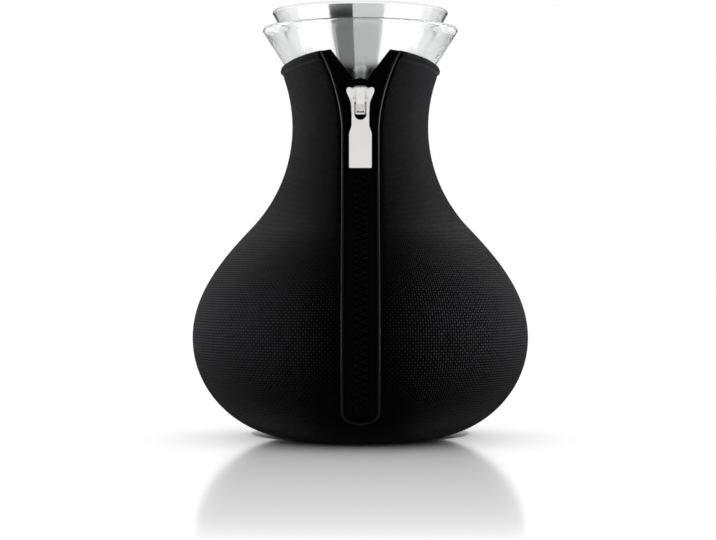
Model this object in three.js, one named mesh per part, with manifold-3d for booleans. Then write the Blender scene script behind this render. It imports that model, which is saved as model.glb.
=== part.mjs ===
// Tea maker: a glass flask in a padded zip jacket, with a steel pouring funnel, a tilting flap and a tea egg.
// Millimetres, +Z up. The origin is on the floor under the middle of the base, and the zip faces -Y.

import * as THREE from "three";
import { mergeVertices } from "three/addons/utils/BufferGeometryUtils.js";
import Module from "manifold-3d";

const wasm = await Module();
wasm.setup();
const { degToRad, lerp } = THREE.MathUtils;

// Gap between pieces that touch
const FIT = 0.3;

// Jacket, measured on its outside
const BELLY_RADIUS = 82.7;
const BELLY_HEIGHT = 49.5;
const BASE_RADIUS = 30; // the flat that it stands on
const NECK_RADIUS = 33.6;
const NECK_HEIGHT = 153.4; // where the neck is narrowest
const NECK_CURVE = 72; // radius of the hollow curve at the neck
const NECK_SWEEP = degToRad(44); // of that curve, below the neck
const BELLY_HANDLE = 19; // the shoulder curve's pull at the belly
const SHOULDER_HANDLE = 26; // and at the foot of the neck curve
const JACKET_WALL = 4;
const HEM_RISE = 28.9; // from the neck to the hem at the sides and the back
const HEM_PEAK = 5.3; // how much higher the hem stands at the front
const HEM_SPARE = 3; // cut off above the hem

// Glass flask
const GLASS_WALL = 2.2;
const LIP_RADIUS = 48.4;
const LIP_RISE = 47.6; // from the neck to the lip
const FLARE_ANGLE = degToRad(32.7);
const FLARE_FILLET = 30;

// Zip slot, measured across and along the jacket
const SLOT_HALF = 9.2;
const SLOT_FOOT = 35.7; // from the flat base up to the slot
const SLOT_FLARE = 10.3; // how much the slot widens to each side at the hem
const SLOT_FLARE_POWER = 1.7;
const SLOT_FLARE_DROP = 3.4; // the widening starts this far below the neck
const SLOT_PROUD = 12; // how far out of the jacket the cut for the slot starts
const BINDING_WIDTH = 1.8;
const BINDING_CREST = 0.6; // above the jacket
const BINDING_SIDES = 6;

// Zip chain: depths are below the jacket's outside
const CHAIN_HALF = 3.5;
const CORD_WIDTH = 0.6;
const TOOTH_INSET = 0.2; // the teeth are this much thinner than their cord, above and below
const TEETH_TOP = 0.9;
const TEETH_BOTTOM = 2.9;
const TEETH_FOOT = 11; // from the foot of the slot to the first tooth
const TOOTH_PITCH = 3.7;
const TOOTH_ROOT = 1.2;
const TOOTH_TIP = 1.6;
const TOOTH_REACH = 0.8; // past the middle
const TAPE_THICKNESS = 0.6;
const TAPE_FOOT = 2.6; // from the foot of the slot to the end of the tapes
const HEM_TAPE_DEPTH = 0.3; // depth of the tapes at the hem
const BOTTOM_STOP_LENGTH = 3.2;
const V_FOOT_HALF = 3.4; // the V between the tapes, at its foot
const V_TOP_HALF = 14.3; // and at the hem
const TACK_HALF = 7.5; // bar tack above the slider
const TACK_LENGTH = 2.7;
const TACK_PEAK = 0.9;
const TACK_PEAK_HALF = 3.75;
const TACK_THICKNESS = 1.1;

// Slider, in its own frame: x across, y up along the zip, z out of the jacket
const SLIDER_TURN = degToRad(8.5); // its place above the neck, round the neck curve
const SLIDER_NOSE = 6.6;
const SLIDER_TAIL = 6.8;
const SLIDER_TAIL_HALF = 4.4;
const SLIDER_WING_HALF = 6.8;
const SLIDER_WING_FOOT = -1.2;
const SLIDER_WING_TOP = 4.2;
const SLIDER_NOTCH = 0.8; // the dips between the nose and the wings
const SLIDER_RAIL = 0.6;
const TOP_PLATE_UNDER = 0.25; // depth of the top plate's underside
const TOP_PLATE = 1.6;
const BOTTOM_PLATE = 0.5;
const DIVIDER_HALF = 1.6;
const DIVIDER_TIP = 2.4;
const BRIDGE_HALF = 2.1;
const BRIDGE_THICKNESS = 1.3;
const BRIDGE_FOOT = 1.7;
const BRIDGE_SHOULDER = 2.3;
const BRIDGE_INSIDE_ROUND = 1.6;

// Puller, hanging from the slider's bridge
const PULLER_THICKNESS = 1.8;
const PULLER_LEAN = degToRad(1);
const PULLER_WAIST_HALF = 4.2;
const PULLER_TAB_HALF = 5.4;
const PULLER_LENGTH = 32.2;
const PULLER_NECK = 11.5; // from the pivot to where the plate widens
const PULLER_TAPER = 5;
const PULLER_CORNER = 0.9;
const WINDOW_LENGTH = 8.4;
const WINDOW_CLEAR = 0.5; // to each side of the bridge
const CLEAR_TURN = 0.28; // round the puller's bar as it turns

// Pouring funnel
const RIM_RADIUS = 43.3;
const RIM_RISE = 9.6; // from the glass lip to the top of the rim
const BEAD_RADIUS = 1;
const CONE_ANGLE = degToRad(27.65);
const FUNNEL_WALL = 0.8;
const COLLAR_RADIUS = 21;
const COLLAR_LENGTH = 20;
const COLLAR_FLANGE = 1.6;

// Gasket between the collar and the glass neck
const GASKET_CORE = 3; // thickness round the collar
const GASKET_SEAT = 8; // from the foot of the glass flare to the seat
const GASKET_RIM = 3;
const FIN_COUNT = 3;
const FIN_HEIGHT = 1.2;

// Pouring flap and its hinge
const FLAP_RISE = 6; // from the foot of the cone to the flap
const FLAP_SHEET = 1;
const FLAP_DISH = 1.6;
const FLAP_BRIM = 3;
const HINGE_BACK = 14; // from the axis of the flask
const PIN_RADIUS = 1.2;
const KNUCKLE_RADIUS = 2.2;
const KNUCKLE_HALF = 5;
const LUG_LENGTH = 3.7;

// Tea egg
const SPIDER_RISE = 2; // above the foot of the collar
const SPIDER_THICKNESS = 2;
const SPIDER_RING = 2.5;
const SPIDER_HUB = 6;
const SPIDER_ARM = degToRad(16);
const STEM_RADIUS = 2.5;
const STEM_HEAD_RADIUS = 4.6;
const STEM_HEAD = 1.6;
const STEM_TAPER = 1.6; // from a shoulder to the rod
const STEM_LENGTH = 40; // from the spider to the cap
const EGG_RADIUS = 22;
const EGG_WALL = 0.8;
const CAP_FLAT = 7;
const CAP_DOME = 8;
const CAP_SKIRT = 8;
const CUP_LENGTH = 42;
const CUP_OVERLAP = 6; // of the cap's skirt over the cup
const CUP_ROUND = 10;
const HOLE_RADIUS = 1.7;
const HOLE_ROWS = 4;
const HOLE_COLUMNS = 12;
const HOLE_SIDES = 4;
const HOLE_STEP = 5;
const FLOOR_HOLES = 6;
const FLOOR_HOLE_RING = 7;
const BAYONET_PIN = 1.1;
const BAYONET_REACH = 1.5;
const BAYONET_DROP = 3; // from the cup's rim
const BAYONET_TURN = degToRad(40);

// Facets
const BODY_SIDES = 28;
const RING_SIDES = 28;
const BELLY_STEPS = 5;
const SHOULDER_STEPS = 4;
const NECK_STEPS = 6;
const CURVE_STEPS = 4;
const BAND_STEP = 8;
const FOOT_TURN = degToRad(20); // round the foot of the slot
const SLICE_TURN = degToRad(10); // round a bayonet slot
const TACK_STEPS = 3; // on each side of the bar tack
const ROD_SIDES = 16;
const BAYONET_SIDES = 8;

// How far a cutter runs past what it cuts, and how near two corners are one
const CUT_SPARE = 1;
const SAME_CORNER = 1e-4;

// Helpers for closed meshes

// Turns a closed indexed geometry into a solid for joining and cutting.
function solid(geometry) {
  const bare = geometry.clone();
  bare.deleteAttribute("normal");
  bare.deleteAttribute("uv");
  const merged = mergeVertices(bare, SAME_CORNER);
  const corners = merged.index.array;
  const kept = [];
  for (let i = 0; i < corners.length; i += 3) {
    const [a, b, c] = [corners[i], corners[i + 1], corners[i + 2]];
    if (a !== b && b !== c && c !== a) kept.push(a, b, c);
  }
  return new wasm.Manifold(
    new wasm.Mesh({
      numProp: 3,
      vertProperties: new Float32Array(merged.attributes.position.array),
      triVerts: new Uint32Array(kept),
    }),
  );
}

function geometryOf(body) {
  const mesh = body.getMesh();
  const geometry = new THREE.BufferGeometry();
  geometry.setAttribute("position", new THREE.BufferAttribute(mesh.vertProperties, 3));
  geometry.setIndex(new THREE.BufferAttribute(mesh.triVerts, 1));
  geometry.computeVertexNormals();
  return geometry;
}

// Turns a profile in (radius, height) round the Z axis, whichever way round its points run.
function revolve(profile, sides) {
  const points = THREE.ShapeUtils.area(profile) > 0 ? profile : [...profile].reverse();
  return new THREE.LatheGeometry(points, sides).rotateX(Math.PI / 2);
}

// Joins rings of points, one after another, and closes both ends. The rings are convex.
function loft(rings) {
  const count = rings[0].length;
  const index = [];
  for (let ring = 0; ring + 1 < rings.length; ring += 1) {
    for (let k = 0; k < count; k += 1) {
      const a = ring * count + k;
      const b = ring * count + ((k + 1) % count);
      index.push(a, b, b + count, a, b + count, a + count);
    }
  }
  const last = (rings.length - 1) * count;
  for (let k = 1; k + 1 < count; k += 1) {
    index.push(0, k + 1, k, last, last + k, last + k + 1);
  }
  const geometry = new THREE.BufferGeometry().setFromPoints(rings.flat());
  geometry.setIndex(signedVolume(rings.flat(), index) > 0 ? index : index.reverse());
  return geometry;
}

function signedVolume(points, index) {
  let sum = 0;
  for (let i = 0; i < index.length; i += 3) {
    const normal = points[index[i + 1]].clone().cross(points[index[i + 2]]);
    sum += points[index[i]].dot(normal) / 6;
  }
  return sum;
}

function extrude(shape, depth) {
  return new THREE.ExtrudeGeometry(shape, { depth, bevelEnabled: false, curveSegments: CURVE_STEPS });
}

// Lays a shape drawn in (y, z) across the part, with its thickness along x.
function acrossX(geometry, thickness) {
  const toYZX = new THREE.Matrix4().makeBasis(
    new THREE.Vector3(0, 1, 0),
    new THREE.Vector3(0, 0, 1),
    new THREE.Vector3(1, 0, 0),
  );
  return geometry.applyMatrix4(toYZX).translate(-thickness / 2, 0, 0);
}

function box(x0, x1, y0, y1, z0, z1) {
  const geometry = new THREE.BoxGeometry(x1 - x0, y1 - y0, z1 - z0);
  return geometry.translate((x0 + x1) / 2, (y0 + y1) / 2, (z0 + z1) / 2);
}

function rodAlongX(radius, x0, x1, y, z, sides = ROD_SIDES) {
  const geometry = new THREE.CylinderGeometry(radius, radius, x1 - x0, sides).rotateZ(Math.PI / 2);
  return geometry.translate((x0 + x1) / 2, y, z);
}

const point2 = (x, y) => new THREE.Vector2(x, y);

// Jacket outline as curves in (radius, height), from the base up
const neckCentre = point2(NECK_RADIUS + NECK_CURVE, NECK_HEIGHT);
const shoulder = point2(
  neckCentre.x - NECK_CURVE * Math.cos(NECK_SWEEP),
  neckCentre.y - NECK_CURVE * Math.sin(NECK_SWEEP),
);
const hemHeight = NECK_HEIGHT + HEM_RISE;
const hemTop = hemHeight + HEM_PEAK;
const neckTurn = (height) => Math.asin((height - NECK_HEIGHT) / NECK_CURVE);

const baseLine = new THREE.LineCurve(point2(0, 0), point2(BASE_RADIUS, 0));
const bellyCurve = new THREE.EllipseCurve(
  BASE_RADIUS,
  BELLY_HEIGHT,
  BELLY_RADIUS - BASE_RADIUS,
  BELLY_HEIGHT,
  -Math.PI / 2,
  0,
);
const shoulderCurve = new THREE.CubicBezierCurve(
  point2(BELLY_RADIUS, BELLY_HEIGHT),
  point2(BELLY_RADIUS, BELLY_HEIGHT + BELLY_HANDLE),
  point2(
    shoulder.x + SHOULDER_HANDLE * Math.sin(NECK_SWEEP),
    shoulder.y - SHOULDER_HANDLE * Math.cos(NECK_SWEEP),
  ),
  shoulder,
);
const neckArc = (from, to) =>
  new THREE.EllipseCurve(
    neckCentre.x,
    neckCentre.y,
    NECK_CURVE,
    NECK_CURVE,
    Math.PI - from,
    Math.PI - to,
    true,
  );
const waistCurve = neckArc(-NECK_SWEEP, 0);
const collarCurve = neckArc(0, neckTurn(hemTop + HEM_SPARE));

const outline = new THREE.CurvePath();
for (const curve of [baseLine, bellyCurve, shoulderCurve, waistCurve, collarCurve]) {
  outline.add(curve);
}
const outlineLength = outline.getLength();
const alongNeck = outlineLength - collarCurve.getLength();
const alongHem = alongNeck + NECK_CURVE * neckTurn(hemTop);
const alongSlot = BASE_RADIUS + SLOT_FOOT;

// Points of a curve moved inwards by a distance.
function offsetRun(curve, distance, steps) {
  const run = [];
  for (let i = 0; i <= steps; i += 1) {
    const place = curve.getPoint(i / steps);
    const way = curve.getTangent(i / steps);
    run.push(point2(place.x - distance * way.y, place.y + distance * way.x));
  }
  return run;
}

// The point that lies across and along the front of the jacket, below its outside by a depth.
function onFront(across, along, depth) {
  const place = outline.getPoint(along / outlineLength);
  const way = outline.getTangent(along / outlineLength);
  const radius = place.x - depth * way.y;
  const height = place.y + depth * way.x;
  return new THREE.Vector3(across, -Math.sqrt(radius * radius - across * across), height);
}

// Evenly spaced places from one end of a stretch to the other.
function places(from, to, step) {
  const count = Math.max(1, Math.round((to - from) / step));
  return Array.from({ length: count + 1 }, (_, i) => lerp(from, to, i / count));
}

// A band that follows the front of the jacket between two sides, from a depth down by a thickness.
function band(alongs, left, right, depth, thickness) {
  return loft(
    alongs.map((along) => [
      onFront(left(along), along, depth(along)),
      onFront(right(along), along, depth(along)),
      onFront(right(along), along, depth(along) + thickness),
      onFront(left(along), along, depth(along) + thickness),
    ]),
  );
}

// Flask surfaces

const glassNeck = NECK_RADIUS - JACKET_WALL - FIT;
const lipHeight = NECK_HEIGHT + LIP_RISE;
const rimTop = lipHeight + RIM_RISE;
const flareFoot =
  lipHeight - (LIP_RADIUS - glassNeck) / Math.tan(FLARE_ANGLE) - FLARE_FILLET * Math.tan(FLARE_ANGLE / 2);

// Runs up the flask at a depth below the outside of the glass, from the axis to the top of the flare fillet.
function flaskRun(depth) {
  const inset = JACKET_WALL + FIT + depth;
  const fillet = new THREE.EllipseCurve(
    glassNeck + FLARE_FILLET,
    flareFoot,
    FLARE_FILLET + depth,
    FLARE_FILLET + depth,
    Math.PI,
    Math.PI - FLARE_ANGLE,
    true,
  );
  return [
    point2(0, inset),
    ...offsetRun(bellyCurve, inset, BELLY_STEPS),
    ...offsetRun(shoulderCurve, inset, SHOULDER_STEPS).slice(1),
    ...offsetRun(waistCurve, inset, NECK_STEPS).slice(1),
    ...fillet.getPoints(CURVE_STEPS - 1),
  ];
}

// The outside of the flare at a height: straight from the top of its fillet to the round of the lip.
function flareRadius(height) {
  const foot = flaskRun(0).at(-1);
  const lipFoot = lipHeight - (GLASS_WALL / 2) * (1 + Math.sin(FLARE_ANGLE));
  return THREE.MathUtils.mapLinear(height, foot.y, lipFoot, foot.x, LIP_RADIUS);
}

// The inside of the glass where it curves out from the neck.
function filletInside(height) {
  const radius = FLARE_FILLET + GLASS_WALL;
  return glassNeck + FLARE_FILLET - Math.sqrt(radius * radius - (height - flareFoot) ** 2);
}

function glassFlask() {
  const half = GLASS_WALL / 2;
  const lip = point2(LIP_RADIUS - half * Math.cos(FLARE_ANGLE), lipHeight - half);
  const lipArc = new THREE.EllipseCurve(lip.x, lip.y, half, half, -FLARE_ANGLE, Math.PI - FLARE_ANGLE);
  const profile = [...flaskRun(0), ...lipArc.getPoints(CURVE_STEPS), ...flaskRun(GLASS_WALL).reverse()];
  return revolve(profile, BODY_SIDES);
}

// Jacket

function slotHalf(along) {
  const up = along - alongSlot;
  if (up < SLOT_HALF) return Math.sqrt(Math.max(0, SLOT_HALF ** 2 - (SLOT_HALF - up) ** 2));
  const flareStart = alongNeck - SLOT_FLARE_DROP;
  const share = (along - flareStart) / (alongHem - flareStart);
  return share > 0 ? SLOT_HALF + SLOT_FLARE * share ** SLOT_FLARE_POWER : SLOT_HALF;
}

// Places along the slot: close together round its foot, then evenly up to the hem.
function slotPlaces() {
  const turns = places(FOOT_TURN / 2, (Math.PI - FOOT_TURN) / 2, FOOT_TURN);
  const foot = turns.map((turn) => alongSlot + SLOT_HALF * (1 - Math.cos(turn)));
  return [...foot, ...places(alongSlot + SLOT_HALF, outlineLength, BAND_STEP)];
}

function jacketShell() {
  const outside = [
    point2(0, 0),
    ...offsetRun(bellyCurve, 0, BELLY_STEPS),
    ...offsetRun(shoulderCurve, 0, SHOULDER_STEPS).slice(1),
    ...offsetRun(waistCurve, 0, NECK_STEPS).slice(1),
    ...offsetRun(collarCurve, 0, CURVE_STEPS).slice(1),
  ];
  const top = hemTop + HEM_SPARE;
  const lining = [...flaskRun(-FIT), point2(flareRadius(top) + FIT / Math.cos(FLARE_ANGLE), top)];
  const shell = solid(revolve([...outside, ...lining.reverse()], BODY_SIDES));

  const reach = 2 * BELLY_RADIUS;
  const hemRadius = neckCentre.x - NECK_CURVE * Math.cos(neckTurn(hemTop));
  const corner = -Math.sqrt(hemRadius ** 2 - V_TOP_HALF ** 2);
  const hem = new THREE.Shape();
  hem.moveTo(reach, hemHeight);
  hem.lineTo(0, hemHeight);
  hem.quadraticCurveTo(corner / 2, hemHeight, corner, hemTop);
  hem.lineTo(-reach, hemTop);
  hem.lineTo(-reach, hemTop + reach);
  hem.lineTo(reach, hemTop + reach);
  hem.closePath();
  const aboveHem = solid(acrossX(extrude(hem, 2 * reach), 2 * reach));

  const slot = solid(
    band(
      slotPlaces(),
      (along) => -slotHalf(along),
      slotHalf,
      () => -SLOT_PROUD,
      SLOT_PROUD + 2 * JACKET_WALL,
    ),
  );
  return shell.subtract(aboveHem).subtract(slot);
}

function jacketHalf(shell, side) {
  const reach = BELLY_RADIUS + CUT_SPARE;
  const ends = [(side * FIT) / 2, side * reach].sort((a, b) => a - b);
  const half = box(ends[0], ends[1], -reach, reach, -CUT_SPARE, rimTop);
  return geometryOf(shell.intersect(solid(half)));
}

// Zip

// The bound edge of the slot: down one side, round the foot and up the other side.
function zipBinding() {
  const inset = FIT + BINDING_WIDTH / 2;
  const radius = SLOT_HALF - inset;
  const middle = alongSlot + SLOT_HALF;
  const sides = places(middle, alongHem - FIT, BAND_STEP);
  const right = sides.map((along) => [slotHalf(along) - inset, along]);
  const turns = places(Math.PI / 2 - FOOT_TURN, FOOT_TURN - Math.PI / 2, -FOOT_TURN);
  const foot = turns.map((turn) => [radius * Math.sin(turn), middle - radius * Math.cos(turn)]);
  const left = right.map(([across, along]) => [-across, along]);
  const route = [...right.reverse(), ...foot, ...left];
  const rings = route.map(([across, along], i) => {
    const before = route[Math.max(0, i - 1)];
    const after = route[Math.min(route.length - 1, i + 1)];
    const way = point2(after[0] - before[0], after[1] - before[1]).normalize();
    const bottom = tapeDepth(along) - FIT;
    const middleDepth = (bottom - BINDING_CREST) / 2;
    const halfDepth = (bottom + BINDING_CREST) / 2;
    return Array.from({ length: BINDING_SIDES }, (_, k) => {
      const turn = (2 * Math.PI * (k + 0.5)) / BINDING_SIDES;
      const aside = (BINDING_WIDTH / 2) * Math.cos(turn);
      const depth = middleDepth - halfDepth * Math.sin(turn);
      return onFront(across - aside * way.y, along + aside * way.x, depth);
    });
  });
  return loft(rings);
}

const sliderAlong = alongNeck + NECK_CURVE * SLIDER_TURN;
const alongTeethFoot = alongSlot + TEETH_FOOT;
const alongTeethTop = sliderAlong + DIVIDER_TIP - FIT;
const alongTack = sliderAlong + SLIDER_NOSE + FIT;
const alongV = alongTack + TACK_LENGTH;
const tapeTop = (TEETH_TOP + TEETH_BOTTOM - TAPE_THICKNESS) / 2;

// Where the tape's inner edge runs: beside the teeth, then along the V.
function tapeInside(along) {
  const share = (along - alongV) / (alongHem - alongV);
  return Math.max(CHAIN_HALF + FIT, V_FOOT_HALF + (V_TOP_HALF - V_FOOT_HALF) * share);
}

// The tapes come up towards the hem, where the flare of the glass leaves less room.
function tapeDepth(along) {
  const share = Math.max(0, (along - alongTack) / (alongHem - alongTack));
  return tapeTop + (HEM_TAPE_DEPTH - tapeTop) * share;
}

function zipTape(side) {
  const alongs = [
    ...slotPlaces().filter((along) => along > alongSlot + TAPE_FOOT && along < alongV),
    ...places(alongV, alongHem - FIT, BAND_STEP),
  ];
  return band(
    [alongSlot + TAPE_FOOT, ...alongs],
    (along) => side * tapeInside(along),
    (along) => side * (slotHalf(along) - FIT),
    tapeDepth,
    TAPE_THICKNESS,
  );
}

// One side's teeth, moulded on the cord at the edge of its tape. The sides mesh half a pitch apart.
function zipTeeth(side) {
  const count = Math.floor((alongTeethTop - alongTeethFoot) / TOOTH_PITCH);
  const root = CHAIN_HALF - CORD_WIDTH / 2;
  let chain = solid(
    band(
      places(alongTeethFoot, alongTeethTop, BAND_STEP),
      () => side * (CHAIN_HALF - CORD_WIDTH),
      () => side * CHAIN_HALF,
      () => TEETH_TOP,
      TEETH_BOTTOM - TEETH_TOP,
    ),
  );
  for (let k = 0; k < count; k += 1) {
    const along = alongTeethFoot + TOOTH_PITCH * (k + (side < 0 ? 0.25 : 0.75));
    const ring = (depth) => [
      onFront(side * root, along - TOOTH_ROOT / 2, depth),
      onFront(side * root, along + TOOTH_ROOT / 2, depth),
      onFront(-side * TOOTH_REACH, along + TOOTH_TIP / 2, depth),
      onFront(-side * TOOTH_REACH, along - TOOTH_TIP / 2, depth),
    ];
    chain = chain.add(solid(loft([ring(TEETH_TOP + TOOTH_INSET), ring(TEETH_BOTTOM - TOOTH_INSET)])));
  }
  return geometryOf(chain);
}

function bottomStop() {
  const top = alongTeethFoot - FIT;
  return band(
    [top - BOTTOM_STOP_LENGTH, top],
    () => -CHAIN_HALF,
    () => CHAIN_HALF,
    () => TEETH_TOP,
    TEETH_BOTTOM - TEETH_TOP,
  );
}

// The bar tack across the foot of the V, a little taller in the middle.
function topStop() {
  const under = tapeDepth(alongTack + TACK_LENGTH + TACK_PEAK) - FIT;
  const acrosses = places(-TACK_HALF, TACK_HALF, TACK_HALF / TACK_STEPS);
  const rings = acrosses.map((across) => {
    const peak = TACK_PEAK * Math.max(0, 1 - Math.abs(across) / TACK_PEAK_HALF);
    const top = alongTack + TACK_LENGTH + peak;
    return [
      onFront(across, alongTack, under - TACK_THICKNESS),
      onFront(across, top, under - TACK_THICKNESS),
      onFront(across, top, under),
      onFront(across, alongTack, under),
    ];
  });
  return loft(rings);
}

// Slider and puller, each in its own frame

function sliderOutline() {
  const half = (side) => [
    point2(side * SLIDER_TAIL_HALF, -SLIDER_TAIL),
    point2(side * SLIDER_TAIL_HALF, SLIDER_WING_FOOT),
    point2(side * SLIDER_WING_HALF, SLIDER_WING_TOP),
    point2(side * (SLIDER_WING_HALF - SLIDER_NOTCH), SLIDER_NOSE - SLIDER_NOTCH / 2),
    point2(side * (BRIDGE_HALF + 2 * SLIDER_NOTCH), SLIDER_NOSE - SLIDER_NOTCH),
    point2(side * BRIDGE_HALF, SLIDER_NOSE),
  ];
  return new THREE.Shape([...half(1), ...half(-1).reverse()]);
}

// The way that the two halves of the chain take between the plates.
function sliderChannel() {
  const half = (side) => [
    point2(side * (SLIDER_TAIL_HALF - SLIDER_RAIL), -SLIDER_TAIL - CUT_SPARE),
    point2(side * (SLIDER_TAIL_HALF - SLIDER_RAIL), SLIDER_WING_FOOT),
    point2(side * (SLIDER_WING_HALF - SLIDER_RAIL), SLIDER_WING_TOP),
    point2(side * (SLIDER_WING_HALF - SLIDER_RAIL), SLIDER_NOSE + CUT_SPARE),
  ];
  return new THREE.Shape([...half(1), ...half(-1).reverse()]);
}

const bottomPlateTop = TEETH_BOTTOM + FIT;
const topPlateTop = TOP_PLATE - TOP_PLATE_UNDER;

function sliderBody() {
  const height = topPlateTop + bottomPlateTop + BOTTOM_PLATE;
  const block = solid(extrude(sliderOutline(), height).translate(0, 0, topPlateTop - height));
  const chainWay = solid(
    extrude(sliderChannel(), bottomPlateTop - TOP_PLATE_UNDER).translate(0, 0, -bottomPlateTop),
  );
  const wide = SLIDER_WING_HALF + CUT_SPARE;
  const tapeWay = solid(
    box(
      -wide,
      wide,
      -SLIDER_TAIL - CUT_SPARE,
      SLIDER_NOSE + CUT_SPARE,
      -bottomPlateTop,
      -tapeTop + 2 * FIT,
    ),
  );
  const wedge = new THREE.Shape([
    point2(0, DIVIDER_TIP),
    point2(DIVIDER_HALF, SLIDER_NOSE - SLIDER_NOTCH),
    point2(-DIVIDER_HALF, SLIDER_NOSE - SLIDER_NOTCH),
  ]);
  const divider = solid(
    extrude(wedge, height - BOTTOM_PLATE).translate(0, 0, topPlateTop - height + BOTTOM_PLATE / 2),
  );
  return geometryOf(block.subtract(chainWay).subtract(tapeWay).add(divider));
}

// Half the diagonal of the puller's bar, which turns between the top plate and the bridge.
const barTurn = (PULLER_THICKNESS / 2) * Math.SQRT2;
const pivotHeight = topPlateTop + CLEAR_TURN + barTurn;
const bridgeUnder = pivotHeight + barTurn + CLEAR_TURN;

function sliderBridge() {
  const seat = topPlateTop + FIT;
  const top = bridgeUnder + BRIDGE_THICKNESS;
  const arch = new THREE.Shape();
  arch.moveTo(SLIDER_NOSE, seat);
  arch.quadraticCurveTo(SLIDER_NOSE, top, SLIDER_NOSE - BRIDGE_SHOULDER, top);
  arch.lineTo(BRIDGE_SHOULDER - SLIDER_TAIL, top);
  arch.quadraticCurveTo(-SLIDER_TAIL, top, -SLIDER_TAIL, seat);
  const tailInside = BRIDGE_FOOT - SLIDER_TAIL;
  const noseInside = SLIDER_NOSE - BRIDGE_FOOT;
  arch.lineTo(tailInside, seat);
  arch.quadraticCurveTo(tailInside, bridgeUnder, tailInside + BRIDGE_INSIDE_ROUND, bridgeUnder);
  arch.lineTo(noseInside - BRIDGE_INSIDE_ROUND, bridgeUnder);
  arch.quadraticCurveTo(noseInside, bridgeUnder, noseInside, seat);
  arch.closePath();
  return acrossX(extrude(arch, 2 * BRIDGE_HALF), 2 * BRIDGE_HALF);
}

// The pivot is at y = 0, in the middle of the bar at the top of the window.
function zipPuller() {
  const bar = PULLER_THICKNESS / 2;
  const widens = -PULLER_NECK;
  const tab = widens - PULLER_TAPER;
  const foot = -PULLER_LENGTH;
  const plate = new THREE.Shape();
  plate.moveTo(PULLER_WAIST_HALF - PULLER_CORNER, bar);
  plate.quadraticCurveTo(PULLER_WAIST_HALF, bar, PULLER_WAIST_HALF, bar - PULLER_CORNER);
  plate.lineTo(PULLER_WAIST_HALF, widens);
  plate.bezierCurveTo(
    PULLER_WAIST_HALF,
    widens - PULLER_TAPER / 2,
    PULLER_TAB_HALF,
    tab + PULLER_TAPER / 2,
    PULLER_TAB_HALF,
    tab,
  );
  plate.lineTo(PULLER_TAB_HALF, foot + PULLER_CORNER);
  plate.quadraticCurveTo(PULLER_TAB_HALF, foot, PULLER_TAB_HALF - PULLER_CORNER, foot);
  plate.lineTo(PULLER_CORNER - PULLER_TAB_HALF, foot);
  plate.quadraticCurveTo(-PULLER_TAB_HALF, foot, -PULLER_TAB_HALF, foot + PULLER_CORNER);
  plate.lineTo(-PULLER_TAB_HALF, tab);
  plate.bezierCurveTo(
    -PULLER_TAB_HALF,
    tab + PULLER_TAPER / 2,
    -PULLER_WAIST_HALF,
    widens - PULLER_TAPER / 2,
    -PULLER_WAIST_HALF,
    widens,
  );
  plate.lineTo(-PULLER_WAIST_HALF, bar - PULLER_CORNER);
  plate.quadraticCurveTo(-PULLER_WAIST_HALF, bar, PULLER_CORNER - PULLER_WAIST_HALF, bar);
  plate.closePath();

  const windowHalf = BRIDGE_HALF + WINDOW_CLEAR;
  const window = new THREE.Path();
  window.moveTo(windowHalf, -bar);
  window.lineTo(-windowHalf, -bar);
  window.lineTo(-windowHalf, windowHalf - bar - WINDOW_LENGTH);
  window.absarc(0, windowHalf - bar - WINDOW_LENGTH, windowHalf, Math.PI, 2 * Math.PI, false);
  window.closePath();
  plate.holes.push(window);
  return extrude(plate, PULLER_THICKNESS).translate(0, 0, -PULLER_THICKNESS / 2);
}

// Funnel and gasket

const bead = point2(RIM_RADIUS - BEAD_RADIUS, rimTop - BEAD_RADIUS);
const coneSlope = Math.tan(CONE_ANGLE);
const coneHalf = FUNNEL_WALL / 2 / Math.cos(CONE_ANGLE);
const coneRadius = (height) => bead.x - (bead.y - height) * coneSlope;
const coneFoot = bead.y - (bead.x + coneHalf - COLLAR_RADIUS) / coneSlope;
const coneFootInside = bead.y - (bead.x - coneHalf - COLLAR_RADIUS + FUNNEL_WALL) / coneSlope;
const collarFoot = coneFoot - COLLAR_LENGTH;
const collarInside = COLLAR_RADIUS - FUNNEL_WALL;

function pouringFunnel() {
  const wallTurn = Math.asin(FUNNEL_WALL / 2 / BEAD_RADIUS);
  const down = -Math.PI / 2 - CONE_ANGLE;
  const curl = new THREE.EllipseCurve(
    bead.x,
    bead.y,
    BEAD_RADIUS,
    BEAD_RADIUS,
    down + wallTurn,
    down + 2 * Math.PI - wallTurn,
  );
  const profile = [
    point2(collarInside, collarFoot),
    point2(COLLAR_RADIUS + COLLAR_FLANGE, collarFoot),
    point2(COLLAR_RADIUS + COLLAR_FLANGE, collarFoot + FUNNEL_WALL),
    point2(COLLAR_RADIUS, collarFoot + FUNNEL_WALL),
    point2(COLLAR_RADIUS, coneFoot),
    ...curl.getPoints(2 * CURVE_STEPS),
    point2(collarInside, coneFootInside),
  ];
  return revolve([...profile, profile[0]], RING_SIDES);
}

// A silicone ring with fins that press on the neck and a rim that sits on the flare of the glass.
function neckGasket() {
  const bore = COLLAR_RADIUS + FIT;
  const core = bore + GASKET_CORE;
  const finTip = glassNeck - GLASS_WALL - FIT;
  const foot = collarFoot + FUNNEL_WALL + FIT;
  const seat = flareFoot + GASKET_SEAT;
  const top = seat + GASKET_RIM;
  const finStep = (flareFoot - foot) / FIN_COUNT;
  const fins = Array.from({ length: FIN_COUNT }, (_, k) => foot + finStep * k).flatMap((height) => [
    point2(finTip, height),
    point2(finTip, height + FIN_HEIGHT / 2),
    point2(core, height + FIN_HEIGHT),
    point2(core, height + finStep),
  ]);
  const profile = [
    point2(bore, foot),
    ...fins,
    point2(filletInside(seat) - FIT, seat),
    point2(filletInside(seat) - FIT, top),
    point2(coneRadius(top) + coneHalf + FIT, top),
    point2(bore, coneFoot),
  ];
  return revolve([...profile, profile[0]], RING_SIDES);
}

// Flap

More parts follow.
